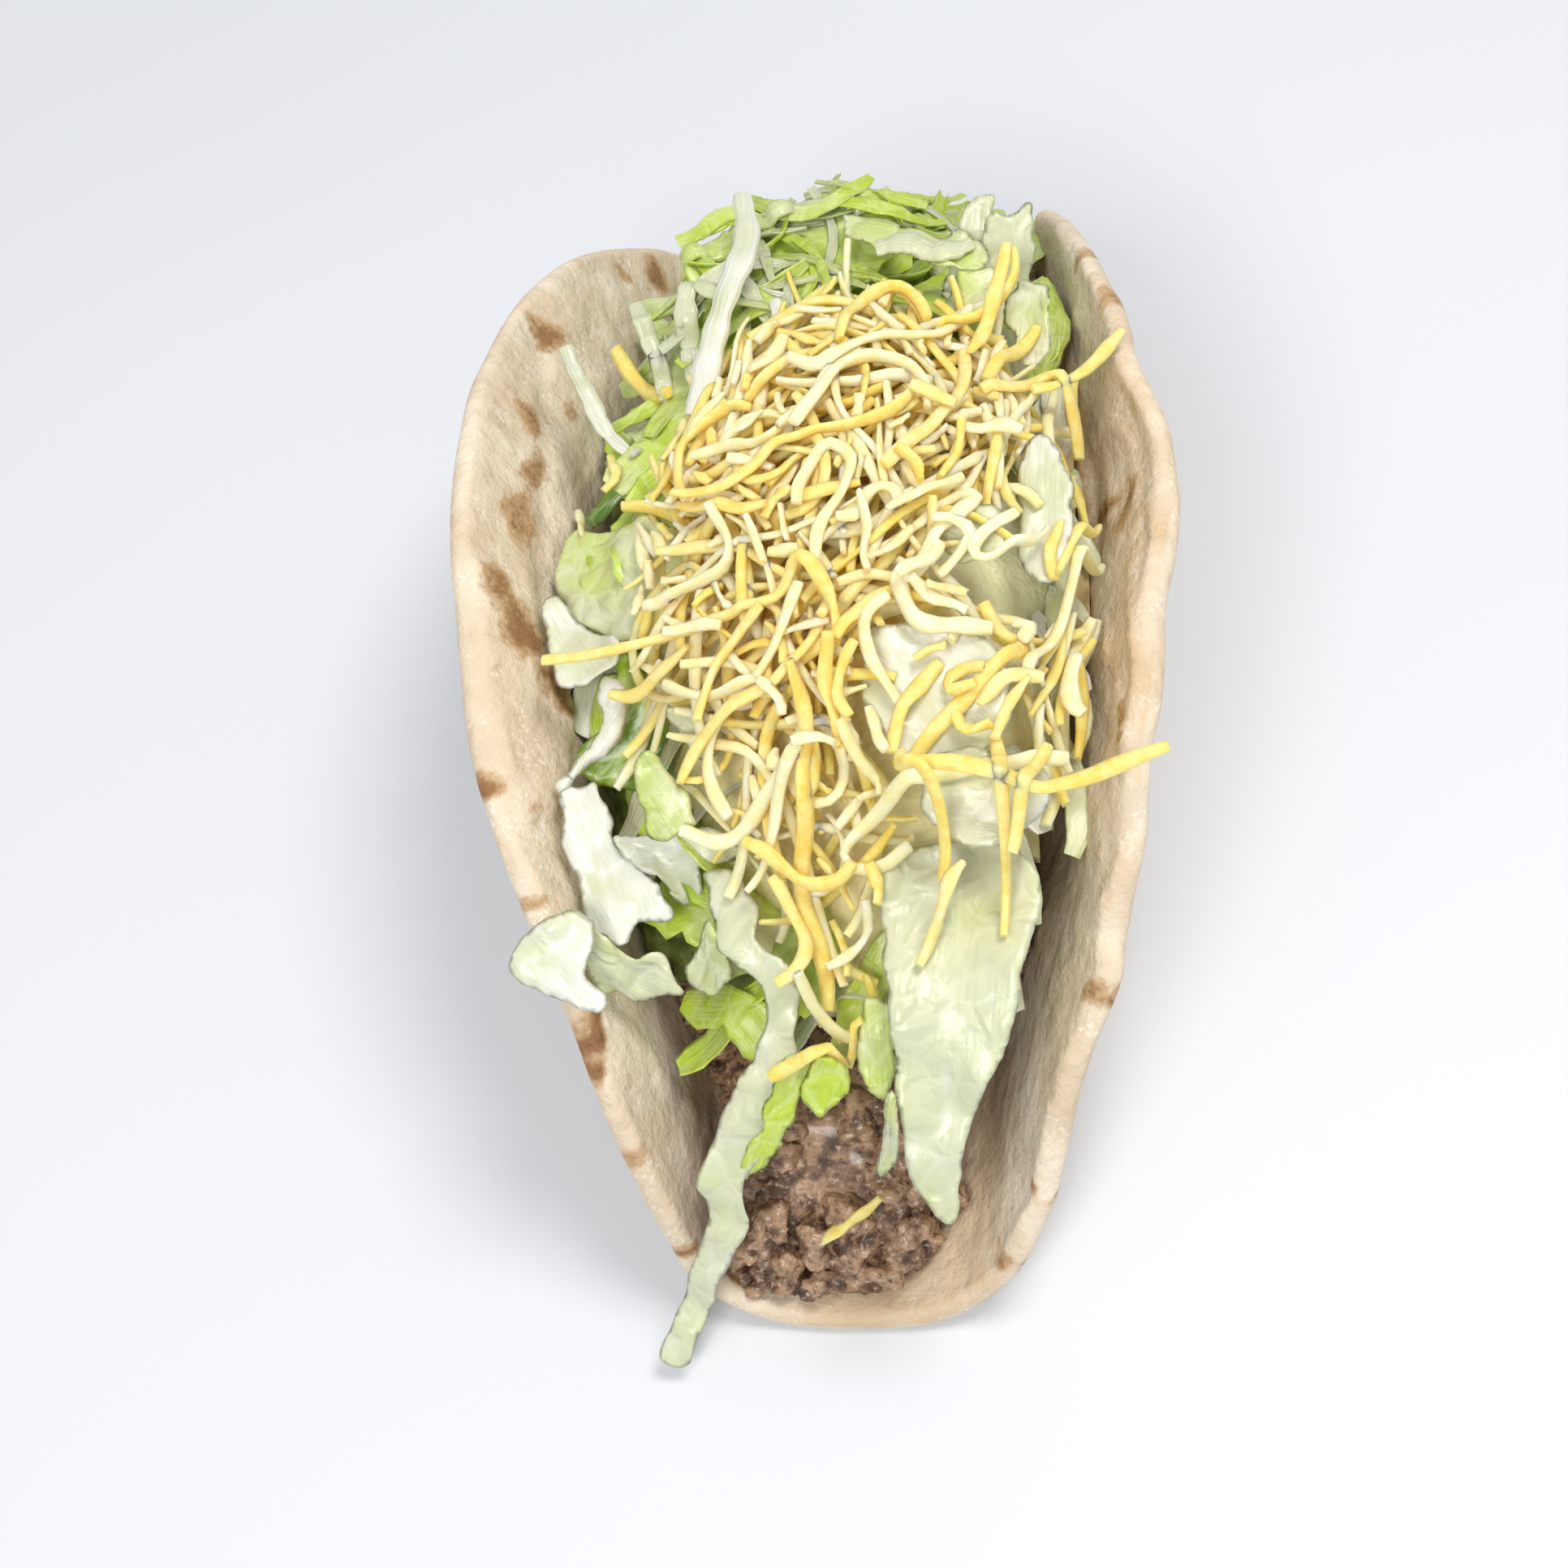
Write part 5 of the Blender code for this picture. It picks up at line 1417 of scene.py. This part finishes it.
def heightBody(name, top, floor, xs, ys, look):
    # closed body between two height grids where the top is over the floor
    bm = bmesh.new()
    upper, lower = {}, {}
    for i, x in enumerate(xs):
        for j, y in enumerate(ys):
            if top[i, j] > floor[i, j] + thinnestCore:
                upper[i, j] = bm.verts.new((x, y, top[i, j]))
                lower[i, j] = bm.verts.new((x, y, floor[i, j]))
    for i in range(len(xs) - 1):
        for j in range(len(ys) - 1):
            cell = [(i, j), (i + 1, j), (i + 1, j + 1), (i, j + 1)]
            if all(key in upper for key in cell):
                bm.faces.new([upper[key] for key in cell])
                bm.faces.new([lower[key] for key in reversed(cell)])
    upperOf = {vertex: key for key, vertex in upper.items()}
    for edge in [edge for edge in bm.edges if len(edge.link_faces) == 1 and edge.verts[0] in upperOf]:
        first, second = [upperOf[vertex] for vertex in edge.verts]
        bm.faces.new([upper[first], upper[second], lower[second], lower[first]])
    bmesh.ops.delete(bm, geom=[vertex for vertex in bm.verts if not vertex.link_faces], context="VERTS")
    bmesh.ops.recalc_face_normals(bm, faces=bm.faces)
    mesh = bpy.data.meshes.new(name)
    bm.to_mesh(mesh)
    bm.free()
    made = bpy.data.objects.new(name, mesh)
    bpy.context.scene.collection.objects.link(made)
    mesh.materials.append(look)
    mesh.shade_smooth()
    return made


def buildBeef(floor):
    look = beefLook()
    xs, ys = gridX[::2], gridY[::2]
    x, y = np.meshgrid(xs, ys, indexing="ij")
    floor = floor[::2, ::2]
    lumps = cloud(np.stack([x, y, x * 0], -1), beef["lumpSize"], beef["lumpSeed"]) * beef["lumpHeight"]
    top = beefTop(y) - beef["sink"] + lumps
    nearEnd = ease((beef["pileFrom"] - y) / beef["pileOver"])
    centre = -1.0 * mm - 2.0 * mm * ease((-60 * mm - y) / (10 * mm))
    pile = 1.0 - np.abs((x - centre) / beef["pileHalf"]) ** 3
    pile = pile - (np.maximum(0.0, beef["pileEnd"] - y) / beef["pileRun"]) ** 2
    pile = (beef["pileHeight"] + lumps) * np.maximum(0.0, pile) ** 0.65
    top = top * (1 - nearEnd) + np.minimum(top, pile) * nearEnd
    top = np.where((floor < 0) | (y > heap["beefHalf"] - beef["farCut"]), -1.0, top)
    made = heightBody("beefCrumbs", top, floor + beef["floorGap"], xs, ys, look)
    addTree(made, beefTree(), dict(beef["crumbs"], Material=look))
    settle(made)
    faceOut(made)
    show(made, "beef", "ground_beef")


# Cores: lettuce in the dark greens of painted shade, and matted cheese, under the loose shreds

cores = dict(
    lumpSize=5 * mm, lumpHeight=1.6 * mm, lumpSeed=61, lettuceSink=4.0 * mm, lettuceEnds=(-58 * mm, 66 * mm),
    # near end and near right corner: how much lower, from where, over what length
    nearDip=13 * mm, nearFrom=-38 * mm, nearOver=18 * mm,
    rightDip=24 * mm, rightFrom=(17 * mm, -14 * mm), rightOver=(7 * mm, 12 * mm),
    cheeseReach=0.93, cheeseSink=5.4 * mm, cheeseThick=5.0 * mm,
    shadow=(0.09, 0.12, 0.015), shadedLeaf=(0.30, 0.36, 0.09), wall=(0.66, 0.52, 0.28),
    orange=(0.93, 0.60, 0.12), yellow=(0.95, 0.75, 0.30), greenish=(0.72, 0.74, 0.46), dull=(0.78, 0.72, 0.38),
)


def nearDip(y):
    return cores["nearDip"] * ease((cores["nearFrom"] - y) / cores["nearOver"])


def cheeseDome(x, y):
    # matted cheese over the lettuce's own height, -1 outside it
    away, reach = cheeseAway(x, y), cores["cheeseReach"]
    dome = heap["cheeseDepth"] * np.sqrt(np.maximum(0.0, 1.0 - (away / reach) ** 2)) - cores["cheeseSink"]
    return np.where(away < reach, dome, -1.0)


def lettuceCoreLook():
    made, board = material("lettuceCore", 0.5, 0.3, (0.6, 1.0, 0.3), 0.7 * mm)
    shade = board.grain(3.5 * mm, 3.0, 0.6)
    # painted shade: dark greens for the depths under the loose shreds; tan on the right to match the tortilla wall
    base = board.mix(cores["shadow"], cores["shadedLeaf"], shade.between(0.35, 0.65))
    base = board.mix(base, cores["wall"], board.axis(board.place, 0).between(0.015, 0.022))
    plug(board, base, None, [(shade, 0.8 * mm)])
    return made


def cheeseCoreLook():
    made, board = material("cheeseCore", 0.5, 0.4, (1.0, 0.6, 0.2), 1.5 * mm)
    shade = board.grain(2.4 * mm, 3.0, 0.6)
    base = board.mix(cores["orange"], cores["yellow"], shade.between(0.35, 0.65))
    base = board.mix(base, cores["greenish"], board.axis(board.place, 0).between(0.008, 0.013))
    base = board.mix(base, cores["dull"], board.axis(board.place, 1).between(-0.022, -0.034))
    plug(board, base, None, [(shade, 0.9 * mm)])
    return made


def buildCores(floor):
    xs, ys = gridX[::3], gridY[::3]
    x, y = np.meshgrid(xs, ys, indexing="ij")
    below = floor[::3, ::3]
    lumps = cloud(np.stack([x, y, x * 0], -1), cores["lumpSize"], cores["lumpSeed"]) * cores["lumpHeight"]
    nearest, farthest = cores["lettuceEnds"]
    (fromX, fromY), (overX, overY) = cores["rightFrom"], cores["rightOver"]
    top = lettuceTop(x, y) - cores["lettuceSink"] + lumps - nearDip(y)
    top = top - cores["rightDip"] * ease((x - fromX) / overX) * ease((fromY - y) / overY)
    top = np.where((below < 0) | (y < nearest) | (y > farthest), -1.0, top)
    rest = np.maximum(below + 0.6 * mm, beefTop(y) - 1.0 * mm)
    made = heightBody("lettuceCore", top, rest, xs, ys, lettuceCoreLook())
    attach(made, "root")
    matted = np.where(below < 0, -1.0, lettuceTop(x, y) + cheeseDome(x, y) + lumps * 0.6)
    made = heightBody("cheeseCore", matted, lettuceTop(x, y) - cores["cheeseThick"], xs, ys, cheeseCoreLook())
    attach(made, "root")


def fillingHeights(floor):
    # what the loose shreds lie on, -1 outside the tortilla
    x, y = np.meshgrid(gridX, gridY, indexing="ij")
    nearest, farthest = cores["lettuceEnds"]
    start = np.maximum(floor, np.where(np.abs(y) < heap["beefHalf"], beefTop(y), -1.0))
    shredded = lettuceTop(x, y) - cores["lettuceSink"] - nearDip(y)
    start = np.maximum(start, np.where((y > nearest) & (y < farthest), shredded, -1.0))
    start = np.maximum(start, lettuceTop(x, y) + cheeseDome(x, y))
    return np.where(floor < 0, -1.0, start)


# Stage: floor, light and camera

shot = dict(
    place=(0.03877, -0.18707, 0.27954), aim=(-0.0060, -0.023466, 0.030), roll=-15.19, lens=62.0,
    sensor=36.0, clip=(0.01, 40.0),
)
stage = dict(
    floorSize=9.0, floorColours=((0.70, 0.73, 0.78), (0.74, 0.77, 0.82)), sky=(0.98, 0.98, 1.0, 1.0), skyPower=0.56,
    lightAim=(0.0, 0.0, 0.03),
)
# light, place, size, power and colour
lights = (
    ("key", (0.20, 0.02, 0.62), 0.24, 2.05, (1.0, 0.965, 0.91)),
    ("front", (-0.10, -0.50, 0.58), 0.26, 2.35, (1.0, 0.985, 0.96)),
)


def areaLight(name, place, size, power, colour):
    data = bpy.data.lights.new(name, "AREA")
    data.shape, data.size, data.energy, data.color = "DISK", size, power, colour
    made = bpy.data.objects.new(name, data)
    made.location = place
    made.rotation_mode = "QUATERNION"
    made.rotation_quaternion = (Vector(stage["lightAim"]) - Vector(place)).to_track_quat("-Z", "Y")
    bpy.context.scene.collection.objects.link(made)


def buildCamera():
    ahead = (Vector(shot["aim"]) - Vector(shot["place"])).normalized()
    level = ahead.cross(Vector((0.0, 0.0, 1.0))).normalized()
    roll = math.radians(shot["roll"])
    right = level * math.cos(roll) + level.cross(ahead) * math.sin(roll)
    camera = bpy.data.objects.new("camera", bpy.data.cameras.new("camera"))
    bpy.context.scene.collection.objects.link(camera)
    turn = Matrix((right, right.cross(ahead), -ahead)).transposed().to_4x4()
    turn.translation = Vector(shot["place"])
    camera.matrix_world = turn
    camera.data.sensor_width = shot["sensor"]
    camera.data.lens = shot["lens"]
    camera.data.clip_start, camera.data.clip_end = shot["clip"]
    bpy.context.scene.camera = camera


def buildStage():
    bm = bmesh.new()
    bmesh.ops.create_grid(bm, x_segments=2, y_segments=2, size=stage["floorSize"])
    mesh = bpy.data.meshes.new("floor")
    bm.to_mesh(mesh)
    bm.free()
    floor = bpy.data.objects.new("floor", mesh)
    bpy.context.scene.collection.objects.link(floor)
    look, board = material("floor", 0.45, 0.0, (1.0, 1.0, 1.0), mm)
    plug(board, board.mix(*stage["floorColours"], board.grain(0.2, 2.0)))
    mesh.materials.append(look)
    for light in lights:
        areaLight(*light)
    world = bpy.data.worlds.new("world")
    bpy.context.scene.world = world
    world.use_nodes = True
    background = world.node_tree.nodes["Background"]
    background.inputs["Color"].default_value = stage["sky"]
    background.inputs["Strength"].default_value = stage["skyPower"]
    bpy.context.scene.view_settings.view_transform = "Standard"


stripsTree = sweepTree()
buildCamera()
buildStage()
print("stage ready")
buildTortilla()
floorHeights = floorGrid()
print("floor grid ready")
buildBeef(floorHeights)
buildCores(floorHeights)
print("cores ready")
filling = fillingHeights(floorHeights)
field = Field(filling)
surface = np.maximum(filling, lettuceTop(*np.meshgrid(gridX, gridY, indexing="ij")))
insideMask = Field(np.where((floorHeights > 0) & (floorHeights + 1.5 * mm < surface), 1.0, 0.0))
leafLook = buildLettuce(field, insideMask)
buildLeaves(leafLook, field)
buildStrips(leafLook, field)
buildCheese(field, insideMask)
